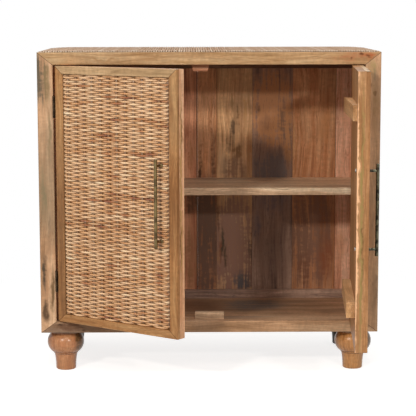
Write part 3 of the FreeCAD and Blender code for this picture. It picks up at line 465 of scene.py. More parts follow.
wear("frame_left_stile", mango_wood(
    "mango_frame_left", "straw", "Z", 11, joints=(top_left, bottom_left), stain_amount=0.5, marks=spots(
        FRONT, (-392, 700, 20, 95, "#645a4b", 1.3), (-380, 690, 14, 80, "#8a7453", 0.9),
        (-372, 560, 6, 90, "#8d7a5c", 0.9), (-388, 430, 12, 90, "#8a7a5e", 1.0),
        (-376, 330, 8, 70, "#5f4c3a", 0.55), (-390, 250, 9, 70, "#55473a", 1.2),
        (-371, 200, 8, 70, "#7a6044", 1.2), (-388, 150, 12, 36, "#5f4a39", 1.2))))
wear("frame_right_stile", mango_wood(
    "mango_frame_right", "straw", "Z", 12, joints=(top_right, bottom_right), stain_amount=0.6, marks=spots(
        FRONT, (386, 666, 5, 9, "#55301f", 2.0), (376, 683, 4, 7, "#5d3a26", 1.4),
        (380, 725, 20, 30, "#a98f62", 0.9), (384, 640, 16, 100, "#8c6c4a", 0.9),
        (388, 700, 9, 30, "#6f6656", 0.6), (384, 330, 10, 90, "#6b5745", 0.6),
        (392, 200, 8, 70, "#5c4a3c", 0.7))))
wear("frame_top_rail", mango_wood(
    "mango_frame_top", "golden", "X", 13, joints=(top_left, top_right), stain_amount=0.25, marks=spots(
        FRONT, (345, 750, 80, 20, "#b27a55", 1.5), (372, 752, 24, 14, "#b2643c", 1.0),
        (331, 747, 5, 6, "#6e4630", 1.5), (356, 754, 9, 4, "#6a3c26", 1.6),
        (371, 751, 8, 4, "#7a4a30", 1.4), (300, 754, 40, 6, "#c29a6c", 0.8),
        (-250, 742, 60, 6, "#93693d", 0.5), (-40, 738, 90, 5, "#a47a4a", 0.5))))
wear("frame_bottom_rail", mango_wood(
    "mango_frame_bottom", "tan", "X", 14, joints=(bottom_left, bottom_right), stain="#6b5f57",
    stain_amount=0.6, marks=spots(
        FRONT, (-340, 112, 70, 14, "#5c3a29", 0.8), (-300, 108, 12, 6, "#3a241b", 0.8),
        (-356, 117, 9, 5, "#2f1d16", 0.8), (-240, 112, 60, 9, "#7b5a42", 0.6),
        (40, 112, 60, 8, "#6a5044", 0.5))))
print("front frame:", round(STILE / MM, 1), "mm stiles")

# %% [markdown]
# The carcass boards are the same wood.  The floor is darker where it has been stained, and the shelf
# is the palest board, with broad bands.

# %% Carcass boards and shelf
wear("left_side_panel", mango_wood("mango_side_left", "tan", "Z", 21))
wear("right_side_panel", mango_wood("mango_side_right", "peach", "Z", 22))
wear("top_board", mango_wood("mango_top", "golden", "X", 23))
wear("floor_board", mango_wood(
    "mango_floor", "tan", "X", 24, stain="#5b4a3e", stain_amount=0.5, marks=(
        spots(60 * MM, (112, 117, 110, 60, "#6f6862", 1.4), half_y=100)
        + spots(40 * MM, (-20, 117, 90, 60, "#6a4a37", 0.8), half_y=160)
        + spots(100 * MM, (250, 117, 90, 60, "#5f4534", 0.6), half_y=30))))
wear("shelf", mango_wood("mango_shelf", "linen", "X", 25, stain="#7d7770", stain_amount=0.4, bands=1.7,
                         veins=0.8))
for number, side in enumerate(("left", "right")):
    wear(f"{side}_shelf_cleat", mango_wood(f"mango_cleat_{side}", "brown", "Y", 43 + number))
    wear(f"{side}_shelf_block", mango_wood(f"mango_block_{side}", "pink", "X", 45 + number))
wear("top_door_stop", mango_wood("mango_stop_top", "pink", "X", 47))
wear("bottom_door_stop", mango_wood("mango_stop_bottom", "linen", "X", 48))

# %% [markdown]
# Inside, the planks of the back each come from another board, so each has its own tone: the eye
# reads them as planks by that more than by their joints.  Sap has greyed the middle ones, and the
# pale one has a dark knot.  The slate plank's grey patches above the shelf are partly that sap and
# partly painted shade, where the left door's shadow falls.  They shine more than the front, because
# they are seen at a slant and nothing has worn their lacquer.

# %% Back planks
BACK_SHINE, BACK_RAIL_SHINE = 0.65, 0.6
# Each plank's tone, the half width of the seam at its right edge in mm, and its spots.
PLANKS = (
    ("hazel", 0.6, ()),
    ("hazel", 0.6, ((-100, 200, 60, 190, "#8e5f44", 1.6),)),
    ("hazel", 1.6, (
        (-40, 490, 24, 60, "#a8744e", 0.7), (-45, 370, 34, 60, "#6b4a36", 1.4),
        (-45, 220, 34, 130, "#9a6c4c", 1.2))),
    ("amber", 0.3, (
        (-19, 440, 8, 130, "#43291d", 1.1), (14, 480, 11, 100, "#4c3328", 0.9),
        (-6, 640, 12, 40, "#6b4526", 0.6), (4, 590, 3, 60, "#53301d", 0.7),
        (0, 300, 40, 160, "#604a40", 2.4), (-2, 170, 36, 100, "#6a5044", 1.8))),
    ("pale", 0.3, (
        (62, 622, 7, 34, "#775736", 0.7), (74, 590, 10, 42, "#6b4d33", 1.2),
        (68, 560, 17, 32, "#5a4232", 1.2), (58, 520, 14, 40, "#664833", 1.1),
        (74, 495, 20, 34, "#6d4426", 1.4), (67, 464, 7, 13, "#1a100d", 2.4),
        (60, 474, 9, 14, "#3a231a", 0.8), (106, 500, 11, 80, "#8a4f28", 0.8),
        (66, 448, 46, 52, "#7a5642", 1.5), (96, 600, 9, 60, "#a8763f", 0.7),
        (36, 470, 14, 70, "#a98a6c", 0.5), (70, 240, 80, 190, "#8b6658", 2.4),
        (28, 330, 6, 60, "#512a1f", 0.9), (38, 262, 6, 56, "#2c211f", 1.3),
        (46, 222, 6, 38, "#30231f", 1.2), (32, 240, 5, 60, "#733c2a", 0.8),
        (88, 160, 34, 32, "#4d4b50", 1.5), (112, 250, 9, 60, "#2f2c30", 0.85))),
    # The grey patches of this plank are partly sap stain and partly painted shade of the left door's shadow.
    ("slate", 0.2, (
        (165, 610, 70, 130, "#b98257", 2.2), (128, 604, 8, 22, "#4a382d", 0.7),
        (150, 570, 26, 40, "#8c644a", 0.7), (205, 500, 14, 110, "#b9845a", 1.5),
        (160, 450, 70, 60, "#756965", 1.8), (205, 480, 8, 50, "#9b6f4c", 0.7),
        (200, 200, 20, 70, "#8d7060", 0.7), (128, 300, 14, 60, "#625c63", 0.8),
        (165, 370, 60, 50, "#6e6062", 0.9), (165, 240, 60, 100, "#8a7264", 0.8))),
    ("amber", 0.5, (
        (222, 480, 4, 150, "#d8a774", 0.8), (262, 380, 50, 60, "#7a5540", 1.0),
        (270, 610, 30, 16, "#dba273", 0.7), (300, 560, 22, 70, "#c58a5a", 0.7),
        (320, 440, 8, 110, "#8e5a3c", 0.6), (265, 270, 90, 200, "#82604f", 1.6),
        (305, 225, 30, 80, "#93573c", 0.9), (255, 190, 34, 70, "#7c5340", 1.0))),
    ("rose", 0.4, ((350, 600, 20, 60, "#dfa37c", 0.6), (345, 250, 16, 60, "#d59a70", 0.6))))
PLANK_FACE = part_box("back_plank_4")[0].y
for number, (tone, seam, rows) in enumerate(PLANKS, start=1):
    edge = (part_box(f"back_plank_{number}")[1].x, 0, 0), (1, 0, 0), seam * MM
    wear(f"back_plank_{number}", mango_wood(
        f"mango_plank_{number}", tone, "Z", 30 + number, stain="#5d4438", stain_amount=0.3, bands=1.2,
        veins=0.7, marks=spots(PLANK_FACE, *rows), joints=(edge,), shine=BACK_SHINE))
wear("back_top_rail", mango_wood("mango_back_rail_top", "umber", "X", 41))
wear("back_bottom_rail", mango_wood("mango_back_rail_bottom", "slate", "X", 42, veins=0.7,
                                    shine=BACK_RAIL_SHINE))
print("back:", len(PLANKS), "planks")

# %% [markdown]
# A door is a board with a mitred frame on it.  The frame's own mitres are worked out in the door's
# directions, and its cross members turn their grain along the door, whatever its angle.  The board's
# sawn meeting edge shows its layers: a pale stripe at the back, an olive one in front.

# %% Doors
EDGE_HALF_X = 14
for door, tone, board_tone, stripe in zip(doors, ("toffee", "biscuit"), ("coral", "biscuit"),
                                          ("#c39863", "#9d8452")):
    name, seed = door.name, 60 if door.side > 0 else 80
    near, far = door.box(f"{name}_hinge_stile")[0], door.box(f"{name}_meeting_stile")[1]
    stile = door.box(f"{name}_hinge_stile")[1][0] - near[0]
    rail = far[2] - door.box(f"{name}_top_rail")[0][2]
    corners = [mitre(door.side * x, near[1], z, door.side * run_x, run_z)
               for x, run_x in ((near[0], stile), (far[0], -stile))
               for z, run_z in ((near[2], rail), (far[2], -rail))]
    for part, grain, joints, step, part_tone in (
            ("hinge_stile", "Z", corners[:2], 1, tone), ("meeting_stile", "Z", corners[2:], 2, tone),
            ("top_rail", "X", corners[1::2], 3, "ash"), ("bottom_rail", "X", corners[::2], 4, tone)):
        wear(f"{name}_{part}", mango_wood(f"mango_{name}_{part}", part_tone, grain, seed + step, door,
                                          joints=joints, stain_amount=0.2))
    board_low, board_high = door.box(f"{name}_board")
    edge, middle = door.side * board_high[0] / MM, (board_low[2] + board_high[2]) / 2 / MM
    stripes = (
        spots(board_high[1], (edge, middle, EDGE_HALF_X, 400, "#f8c396", 2.4), half_y=5)
        + spots(board_low[1] + 6 * MM, (edge, middle, EDGE_HALF_X, 400, stripe, 1.4), half_y=5)
        + spots(board_low[1] + 3 * MM, (edge, middle - 60, EDGE_HALF_X, 130, "#7b5d3a", 1.0), half_y=4)
        + spots(board_low[1] + 8 * MM, (edge, middle + 170, EDGE_HALF_X, 90, "#83613d", 0.9), half_y=3))
    wear(f"{name}_board", mango_wood(f"mango_{name}_board", board_tone, "Z", seed + 5, door,
                                     stain_amount=0.2, marks=stripes, shine=0.12))
    for number, part in enumerate(("upper_ledge", "lower_ledge"), start=6):
        wear(f"{door.short}_{part}", mango_wood(f"mango_{door.short}_{part}", "wheat", "X",
                                                seed + number, door))
print("doors: mitres of", round(stile / MM, 1), "by", round(rail / MM, 1), "mm")

# %% [markdown]
# The feet are turned from solid mango wood and lacquered glossier and more orange than the boards;
# the back ones are dark, which is painted shade: it stands for the shade under the cabinet.  On a
# turned piece the grain still runs straight through the block, so it is the same wood with its
# grain upright, warmer tones and a smoother lacquer.  Thin dark lines in the two grooves beside the
# bead are painted shadow, and so is the dark band at the top, under the carcass.

# %% Turned feet
# The back feet take a dark tone: painted shade, for the shade under the cabinet.
FEET = {"front_left_foot": "lacquered", "front_right_foot": "golden_lacquer",
        "back_left_foot": "shade_dark_lacquer", "back_right_foot": "shade_dark_lacquer"}
FOOT_GLOSS, FOOT_SHINE, BACK_FOOT_SHINE, FOOT_REFLECTION = 0.27, 0.45, 0.2, "#fff6ee"
UP = (0, 0, 1)
GROOVE_HEIGHTS, GROOVE_SHADOW_LINE, PAINTED_TOP_SHADE = (44.4 * MM, 39.0 * MM), 0.2 * MM, 3.4 * MM
# Dark rings: painted shade at the top, under the rail, and painted shadow in the two grooves.
painted_shade_rings = [((0, 0, sill_low.z), UP, PAINTED_TOP_SHADE)] + [((0, 0, z), UP, GROOVE_SHADOW_LINE) for z in GROOVE_HEIGHTS]
for number, (foot, tone) in enumerate(FEET.items(), start=51):
    foot_low, foot_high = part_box(foot)
    middle_x, middle_y = (foot_low.x + foot_high.x) / 2 / MM, (foot_low.y + foot_high.y) / 2
    # The ball is painted darker on its right side and a little on its left: painted shade.
    painted_side_shade = spots(middle_y, (middle_x + 42, 70, 22, 200, "#6a4a2b", 2.2),
                  (middle_x - 46, 70, 12, 200, "#8a5c38", 1.4), half_y=90)
    wear(foot, mango_wood(f"lacquered_foot_{foot.removesuffix('_foot')}", tone, "Z", number,
                          stain_amount=0.1, bands=0.5, veins=0.1, marks=painted_side_shade, joints=painted_shade_rings,
                          gloss=FOOT_GLOSS, reflection=FOOT_REFLECTION,
                          shine=FOOT_SHINE if foot.startswith("front") else BACK_FOOT_SHINE))
print("feet:", len(FEET), "with", len(GROOVE_HEIGHTS), "grooves each")

# %% [markdown]
# The handles and hinges are brass with an antique bronze plating: dark, warm and rubbed bright
# where hands touch it.  A metal's colour is in its reflections, so the base colour is the tint of
# those, and slow noise in the roughness makes the rubbed and the dull places.  The right handle has
# a darker copy of the plating, which is painted shade.

# %% Metals
RUBBED_SIZE, RUBBED, RUBBED_SMOOTHER = 12 * MM, {1: 0.4, 2: 0.62}, -0.12


def plated_metal(name, dull, bright, rough):
    """Plated metal: metallic 1, two tints mixed by 12 mm noise, and a roughness that follows them."""
    material, tree, shader = new_material(name)
    source = add(tree, "TexCoord").outputs["Object"]
    cloud = add(tree, "TexNoise", {"Vector": source, "Scale": 1 / RUBBED_SIZE, "Detail": 3.0})
    rubbed = add(tree, "MapRange", {0: cloud, **RUBBED}, **SMOOTH)
    tint = add(tree, "Mix", {0: rubbed, 6: linear(dull), 7: linear(bright)}, **COLOURS)
    rough = add(tree, "Math", {0: rubbed, 1: RUBBED_SMOOTHER, 2: rough}, operation="MULTIPLY_ADD")
    fill(tree, shader, {"Base Color": tint, "Roughness": rough, "Metallic": 1.0})
    return material


bronze = plated_metal("antique_bronze_plating", "#5a4a33", "#83704c", 0.4)
# Darker copy of the same plating for the right handle: painted shade.
shaded_bronze = plated_metal("shaded_bronze_plating", "#2c2a24", "#6a6652", 0.36)
aged = plated_metal("aged_hinge_bronze", "#2a2119", "#44372a", 0.5)
zinc = plated_metal("zinc_plated_steel", "#9c9a94", "#c9c7c0", 0.36)
for short, plating in (("left", bronze), ("right", shaded_bronze)):
    for part in ("handle_bar", "handle_posts"):
        wear(f"{short}_{part}", plating)
    for part in ("hinge_frame_leaves", "hinge_door_leaves", "hinge_pins"):
        wear(f"{short}_{part}", aged)
    wear(f"{short}_handle_screws", zinc)
wear("foot_bolts", zinc)
print("metals:", ", ".join(metal.name for metal in (bronze, shaded_bronze, aged, zinc)))

# %% [markdown]
# What the frame doesn't have is made here as new pieces.  Each of them needs the same few things: a
# finish, the body that it moves with and, where it stands for a construction piece, that piece's name.


# %% New pieces
def show(mesh, material, body, slot, *replaced):
    """Make a mesh a piece of the object: its finish, the body it moves with, the nodes it stands for."""
    piece = bpy.data.objects.new(mesh.name, mesh)
    bpy.context.scene.collection.objects.link(piece)
    mesh.materials.append(material)
    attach(piece, body)
    if replaced:
        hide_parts(*replaced)


# %% [markdown]
# A turned foot comes from the frame as many small flat faces, and under a lacquer each of them
# would shine on its own.  A merged copy shares its corners, so the shading runs on over the curve
# and the lamp shows as one soft spot.  Only where two faces meet at a real edge, as beside the
# bead, does the shading break.

# %% Smooth feet
MERGE_DISTANCE, EDGE_ANGLE = 0.005 * MM, math.radians(32)
for foot in FEET:
    smooth = frame["nodes"][foot].data.copy()
    smooth.name = f"{foot}_turned"
    merged = bmesh.new()
    merged.from_mesh(smooth)
    bmesh.ops.remove_doubles(merged, verts=merged.verts, dist=MERGE_DISTANCE)
    merged.to_mesh(smooth)
    merged.free()
    if "custom_normal" in smooth.attributes:
        smooth.attributes.remove(smooth.attributes["custom_normal"])
    smooth.polygons.foreach_set("use_smooth", np.ones(len(smooth.polygons), bool))
    smooth.set_sharp_from_angle(angle=EDGE_ANGLE)
    finish = smooth.materials[0]
    smooth.materials.clear()
    show(smooth, finish, CARCASS, "turned_wood", foot)
    print(smooth.name, "has", len(smooth.vertices), "shared corners")

# %% [markdown]
# Rattan is woven from long strands of the palm's core.  Stiff upright stakes stand about 25 mm
# apart, and the strands pass in front of one stake and behind the next, each course the other way
# round.  So every strand follows a wave along its length, and neighbouring courses are half a wave
# apart: the light catches the crests, and dark holes show beside the stakes.
#
# A bump map can't do that, because strands hide each other, so each strand is a tube of its own.
# All of them are worked out in one array with the axes strand, step along it, corner round it, xyz.


# %% Tubes from arrays
def tube_mesh(name, paths, side_axis, half_width, half_depth, corners=6):
    """Closed tubes along many paths at once.

    Each path is (steps, 3).  At each step the section is an ellipse: half_width along side_axis and
    half_depth along the cross product of the path's direction and side_axis, at equal angles.
    """
    strands, steps = paths.shape[:2]
    forward = np.gradient(paths, axis=1)
    forward /= np.linalg.norm(forward, axis=2, keepdims=True)
    side = np.broadcast_to(np.asarray(side_axis, float), paths.shape)
    out = np.cross(forward, side)
    out /= np.linalg.norm(out, axis=2, keepdims=True)
    across = np.cross(out, forward)
    angle = 2 * np.pi * np.arange(corners) / corners
    width = np.broadcast_to(half_width, (strands, steps))[..., None, None]
    depth = np.broadcast_to(half_depth, (strands, steps))[..., None, None]
    ring = (paths[:, :, None] + width * np.cos(angle)[:, None] * across[:, :, None]
            + depth * np.sin(angle)[:, None] * out[:, :, None])

    index = np.arange(strands * steps * corners).reshape(strands, steps, corners)
    after = np.roll(index, -1, axis=2)
    quads = np.stack((index[:, :-1], after[:, :-1], after[:, 1:], index[:, 1:]), -1).reshape(-1, 4)
    caps = np.concatenate((index[:, 0, ::-1], index[:, -1]))
    mesh = bpy.data.meshes.new(name)
    mesh.from_pydata(ring.reshape(-1, 3).tolist(), [], quads.tolist() + caps.tolist())
    mesh.polygons.foreach_set("use_smooth", np.arange(len(mesh.polygons)) < len(quads))
    print(name, "has", strands, "tubes of", steps, "steps")
    return mesh, ring


def store(mesh, ring, name, values):
    """Write an attribute of one float per corner; values spread over strands, steps and corners."""
    attribute = mesh.attributes.new(name, "FLOAT", "POINT")
    values = np.broadcast_to(values, ring.shape[:3])
    attribute.data.foreach_set("value", np.ascontiguousarray(values, np.float32).ravel())


# %% [markdown]
# Each strand is its own length of palm: most are tan, some cream, and a few kept their reddish
# skin.  The number that says which is stored on the strand as an attribute, and slow noise along
# the strand moves it up and down.  Another attribute says how deep in the weave a corner lies: the
# crests are painted lighter, which is painted light, and the deep parts darker, which is painted
# shade with some dust.  The clear coat gives the crests their small bright glints.

# %% Rattan
CLOUD_SIZE, CLOUD_SHARE, PATCH_SIZE, PATCH_SHARE = 45 * MM, 0.55, 26 * MM, 0.3
STRAND_SPREAD, RATTAN_FIBRE = 40.0, 1.1 * MM
RATTAN_ROUGHNESS, CLOUD_ROUGHNESS, COAT_ROUGHNESS = 0.6, 0.22, 0.22
BARE_SHINE, COAT_SHINE = 0.2, 0.85
FIBRES, CREST_LIGHT = {1: 0.3, 2: 0.7, 3: 0.93, 4: 1.05}, {1: 0.72, 2: 1.0, 3: 0.88, 4: 1.18}
DUST_AND_SHADE = {1: 0, 2: 0.55, 3: 0.7, 4: 0}


def rattan(name, stops, shadow, coat):
    """Clear-coated rattan: a tone per strand, clouds along it, fine fibres, painted light on the
    crests, and painted shade with some dust deep in the weave.
    """
    material, tree, shader = new_material(name)
    tone, along, depth = (add(tree, "Attribute", attribute_name=word).outputs["Fac"]
                          for word in ("tone", "along", "depth"))
    source = add(tree, "TexCoord").outputs["Object"]
    row = add(tree, "Math", {0: tone, 1: STRAND_SPREAD}, operation="MULTIPLY")
    strand = add(tree, "CombineXYZ", {"X": along, "Y": row})
    cloud = add(tree, "TexNoise", {"Vector": strand, "Scale": 1 / CLOUD_SIZE, "Detail": 2.0})
    patch = add(tree, "TexNoise", {"Vector": source, "Scale": 1 / PATCH_SIZE, "Detail": 2.0})
    value = add(tree, "Math", {0: cloud, 1: CLOUD_SHARE, 2: tone}, operation="MULTIPLY_ADD")
    value = add(tree, "Math", {0: patch, 1: PATCH_SHARE, 2: value}, operation="MULTIPLY_ADD")
    value = add(tree, "Math", {0: value, 1: (CLOUD_SHARE + PATCH_SHARE) / 2}, operation="SUBTRACT")
    colour = add(tree, "ValToRGB", {"Fac": value}, stops)
    fibre = add(tree, "TexNoise", {"Vector": source, "Scale": 1 / RATTAN_FIBRE, "Detail": 1.0})
    fibres = add(tree, "MapRange", {0: fibre, **FIBRES}, **SMOOTH)
    # Painted light: the crests are lighter and the parts that lie deeper darker.
    crest_light = add(tree, "MapRange", {0: depth, **CREST_LIGHT}, **SMOOTH)
    colour = shaded(tree, shaded(tree, colour, fibres), crest_light)
    # Painted shade, with some dust: the deepest parts turn to the shadow colour.
    dust_and_shade = add(tree, "MapRange", {0: depth, **DUST_AND_SHADE}, **SMOOTH)
    colour = add(tree, "Mix", {0: dust_and_shade, 6: colour, 7: linear(shadow)}, **COLOURS)
    rough = add(tree, "Math", {0: cloud, 1: CLOUD_ROUGHNESS, 2: RATTAN_ROUGHNESS - coat},
                operation="MULTIPLY_ADD")
    fill(tree, shader, {"Base Color": colour, "Roughness": rough, "Coat Weight": coat,
                        "Coat Roughness": COAT_ROUGHNESS,
                        "Specular IOR Level": BARE_SHINE + COAT_SHINE * coat})
    return material


door_rattan = rattan("woven_rattan_core", (
    (0.0, "#8a4c28"), (0.16, "#b87746"), (0.36, "#d9a26d"), (0.6, "#eec194"), (0.82, "#f9d7aa"),
    (1.0, "#fff0d6")), "#4a2b1a", 0.35)
# A near-black board behind the weave: painted shade, so the holes look dark.
shade_lining, lining_tree, lining_shader = new_material("painted_shade_lining")
fill(lining_tree, lining_shader, {"Base Color": linear("#3a2318"), "Roughness": 0.8})
print("rattan:", door_rattan.name)

# %% [markdown]
# A strand doesn't follow a plain cosine: it lies long in front of a stake and dips quickly behind
# the next one.  Raising the cosine's hidden half to a power does that.  A weaver's hand isn't a
# machine's either: rows wander by half a millimetre, strands differ in thickness, and at the sides
# they are pinched together in pairs where they turn back.

# %% Paths of the strands
STAKE_PITCH, FIRST_STAKE, STAKES = 24.6 * MM, 12.6 * MM, 13
COURSE, STEPS_PER_PITCH, DIP = 4.6 * MM, 10, 1.8
STRAND_HALF_HEIGHT, CREST_HALF_HEIGHT, STRAND_HALF_DEPTH = 2.45 * MM, 2.6 * MM, 1.5 * MM
SELVAGE, SELVAGE_POWER, PINCH = 9 * MM, 1.5, 1.9 * MM
WANDER, WANDER_LENGTH, WANDER_START, WANDER_COURSES = 0.5 * MM, 43 * MM, 1.3, 11
UNEVEN, BOLDNESS, STRAND_SIZE = 0.18 * MM, (0.82, 1.0), (0.88, 1.0)


def hiding(x, first, parity):
    """0 where a strand crosses in front of a stake, 1 where it is behind one: half of 1 - cos."""
    return (1 - parity * np.cos(np.pi * (x - first) / STAKE_PITCH)) / 2


def strand_paths(low, high, stakes, random):
    """Paths of a panel's strands in the door's directions, with their half heights and half depths.

    A strand's distance from the panel's middle is lift * (1 - 2 * hiding ^ DIP), towards the front.
    """
    courses = int(round((high[2] - low[2]) / COURSE))
    row = np.arange(courses)[:, None]
    parity = np.where(row % 2, 1.0, -1.0)
    x = np.linspace(low[0], high[0], int(STEPS_PER_PITCH * (high[0] - low[0]) / STAKE_PITCH) + 1)
    hidden = hiding(x, stakes[1], parity)
    boldness = np.interp(x, stakes, random.uniform(*BOLDNESS, len(stakes)))
    lift = (high[1] - low[1]) / 2 - STRAND_HALF_DEPTH
    swing = lift * boldness * (1 - 2 * hidden ** DIP)

    edge = np.clip(1 - np.minimum(x - low[0], high[0] - x) / SELVAGE, 0, 1) ** SELVAGE_POWER
    wander = WANDER * np.sin(x / WANDER_LENGTH + WANDER_START) * np.sin(row / WANDER_COURSES)
    z = low[2] + (high[2] - low[2]) / courses * (row + 0.5) + wander + PINCH * edge * parity
    z = z + random.uniform(-UNEVEN, UNEVEN, (courses, 1))
    z = np.clip(z, low[2] + CREST_HALF_HEIGHT, high[2] - CREST_HALF_HEIGHT)
    size = random.uniform(*STRAND_SIZE, (courses, 1))
    paths = np.stack(np.broadcast_arrays(x, (low[1] + high[1]) / 2 - swing * size, z), -1)
    spread = np.clip(1 - 2 * hidden, 0, 1) * (1 - edge)
    half_height = (STRAND_HALF_HEIGHT + (CREST_HALF_HEIGHT - STRAND_HALF_HEIGHT) * spread) * size
    return paths, half_height, STRAND_HALF_DEPTH * size


print("stakes every", round(STAKE_PITCH / MM, 1), "mm, courses every", round(COURSE / MM, 1), "mm")

# %% [markdown]
# The tone changes from crest to crest, because a strand shows another side of itself at each one.
# Whole strands differ a little, and so do groups of neighbours, which come from the same bundle.
# Each stake's column of crests is also lighter or darker as a whole, which is painted light: crests
# that stand out more catch more of the lamp.
# About one crest in eighty begins a reddish stretch that is three crests long.

# %% Tones of the strands
MEAN_TONE, CREST_SPREAD, COLUMN_LIGHT_SPREAD, STRAND_TONE_SPREAD = 0.5, 0.12, 0.05, 0.05
BUNDLE, BUNDLE_SPREAD = 9, 0.11
REDDISH_SHARE, REDDISH_TONE, REDDISH_CRESTS = 0.012, -0.27, 3


def strand_tones(x, stakes, courses, random):
    """Tone of each strand at each x: random at every crest and in between on a straight line."""
    drift = random.normal(0, BUNDLE_SPREAD, courses + BUNDLE - 1)
    drift = np.convolve(drift, np.ones(BUNDLE) / BUNDLE, "valid")[:, None]
    tone = random.normal(MEAN_TONE, CREST_SPREAD, (courses, len(stakes)))
    # Painted light: each stake's column of crests is lighter or darker.
    tone += random.normal(0, COLUMN_LIGHT_SPREAD, len(stakes))
    tone += drift + random.normal(0, STRAND_TONE_SPREAD, (courses, 1))
    reddish = random.random((courses, len(stakes))) < REDDISH_SHARE
    for _ in range(REDDISH_CRESTS - 1):
        reddish |= np.roll(reddish, 1, axis=1)
    tone[reddish] += REDDISH_TONE
    return np.array([np.interp(x, stakes, row) for row in tone])


print("one crest in", round(1 / REDDISH_SHARE), "starts a reddish stretch")

# %% [markdown]
# A door's pieces are made in the door's directions and then turned to where the door stands.
# Mirroring the right door turns its faces inside out, so they are turned back.

# %% Pieces on a door
RATTAN_SLOT = "woven_rattan"


def show_on_door(mesh, material, door, *replaced):
    """Move a mesh from the door's directions to its place, faces outwards, and make it a piece."""
    mesh.vertices.foreach_set("co", door.to_world(corners_of(mesh)).ravel())
    if door.side < 0:
        mesh.flip_normals()
    mesh.update()
    show(mesh, material, door.name, RATTAN_SLOT, *replaced)


def box_mesh(name, low, high):
    """A closed box between two corners: the eight choices of low or high on each axis."""
    ends = (low, high)
    corners = [(ends[i][0], ends[j][1], ends[k][2]) for i in (0, 1) for j in (0, 1) for k in (0, 1)]
    mesh = bpy.data.meshes.new(name)
    mesh.from_pydata(corners, [], [(0, 1, 3, 2), (4, 6, 7, 5), (0, 4, 5, 1), (2, 3, 7, 6),
                                   (0, 2, 6, 4), (1, 5, 7, 3)])
    return mesh


print("slot of the woven pieces:", RATTAN_SLOT)

# %% [markdown]
# A woven panel is three pieces: the strands, the stakes between them and the dark board behind,
# which is painted shade and keeps the holes from showing the inside.  A strand's depth attribute is
# 1 on the crests and smaller towards the board, beside the frame and under its top member, and the
# finish darkens it there: painted shade, with some dust.  The stakes are darkened the same way, as
# painted shade in the holes.

# %% Woven door panels
STAKE_HALF_WIDTH, STAKE_HALF_DEPTH, STAKE_STEPS, STAKE_CORNERS = 3.0 * MM, 1.25 * MM, 40, 8
STAKE_BEND, STAKE_WAVE, STAKE_TONES, STAKE_SHADE_DEPTH = 0.6 * MM, 0.13, (0.3, 0.6), 0.1
SHADE_RIM, RIM_SHADE, UNDER_RAIL_SHADE = 5 * MM, 0.1, 0.25
LINING_INSET, LINING_THICKNESS = 0.5 * MM, 0.4 * MM
ANY_LENGTH, ANY_PHASE = (0, 5), (0, 6)


def weave_strands(door, node, low, high, stakes, random):
    """The strands of a panel as tubes, with their tone, length along the palm and depth.

    The depth also carries painted shade beside the frame and under its top member.
    """
    paths, half_height, half_depth = strand_paths(low, high, stakes, random)
    mesh, ring = tube_mesh(f"{node}_strands", paths, (0, 0, 1), half_height, half_depth)
    x, courses = paths[0, :, 0], len(paths)
    store(mesh, ring, "tone", strand_tones(x, stakes, courses, random)[..., None])
    store(mesh, ring, "along", x[:, None] + random.uniform(*ANY_LENGTH, courses)[:, None, None])
    # Painted shade: the strands darken beside the frame and under its top member.
    beside = np.clip(np.minimum(x - low[0], high[0] - x)[:, None] / SHADE_RIM - RIM_SHADE, 0, 1)
    under_rail_shade = np.clip(UNDER_RAIL_SHADE + (high[2] - ring[..., 2]) / SHADE_RIM, 0, 1)
    store(mesh, ring, "depth", beside * under_rail_shade * (high[1] - ring[..., 1]) / (high[1] - low[1]))
    show_on_door(mesh, door_rattan, door, node)


def set_stakes(door, node, low, high, stakes, random):
    """The upright stakes: x is the stake's place plus a small sine of the height."""
    up = np.linspace(low[2], high[2], STAKE_STEPS)
    bend = random.uniform(-STAKE_BEND, STAKE_BEND, (STAKES, 1))
    bend = bend * np.sin(up / STAKE_WAVE + random.uniform(*ANY_PHASE, (STAKES, 1)))
    centre = np.clip(stakes[1:-1, None] + bend, low[0] + STAKE_HALF_WIDTH, high[0] - STAKE_HALF_WIDTH)
    paths = np.stack(np.broadcast_arrays(centre, (low[1] + high[1]) / 2, up), -1)
    mesh, ring = tube_mesh(f"{node}_stakes", paths, (1, 0, 0), STAKE_HALF_WIDTH, STAKE_HALF_DEPTH,
                           STAKE_CORNERS)
    store(mesh, ring, "tone", random.uniform(*STAKE_TONES, STAKES)[:, None, None])
    store(mesh, ring, "along", up[:, None])
    # A low depth darkens the stakes: painted shade, so the holes look dark.
    store(mesh, ring, "depth", STAKE_SHADE_DEPTH)
    show_on_door(mesh, door_rattan, door)


for door, seed in zip(doors, (101, 202)):
    node = f"{door.short}_woven_panel"
    low, high = door.box(node)
    random = np.random.default_rng(seed)
    stakes = low[0] + FIRST_STAKE + STAKE_PITCH * np.arange(-1, STAKES + 1)
    weave_strands(door, node, low, high, stakes, random)
    set_stakes(door, node, low, high, stakes, random)
    inner, outer = low + LINING_INSET, high - LINING_INSET
    inner[1] = outer[1] - LINING_THICKNESS
    show_on_door(box_mesh(f"{node}_lining", inner, outer), shade_lining, door)

# %% [markdown]
# The top is a flatter mat of the same palm.  Its strands run from front to back, split thin, over
# and under flat stakes.  At the sides the mat is pressed and glued down, so it thins out there, its
# back corners are rounded, and at the front each strand is bent down over the mat's edge: from the
# front one sees a row of ends.

# %% Shape of the top mat
MAT_PITCH, MAT_STAKE_PITCH = 5.8 * MM, 24 * MM
MAT_HALF_WIDTH, MAT_HALF_DEPTH = 2.45 * MM, 0.75 * MM
PRESSED, PRESS, CORNER = 60 * MM, 0.62, 30 * MM
EDGE_BEND, TOOTH, TOOTH_NARROWING, TOOTH_TONE = 3 * MM, 9 * MM, 0.34, 0.35
MAT_STEPS, BEND_STEPS, FADE, MAT_UNEVEN = 110, 5, 8 * MM, 0.25 * MM
mat_low, mat_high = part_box("woven_top")
MAT_THICKNESS, MAT_FRONT = mat_high.z - mat_low.z, mat_low.y + EDGE_BEND


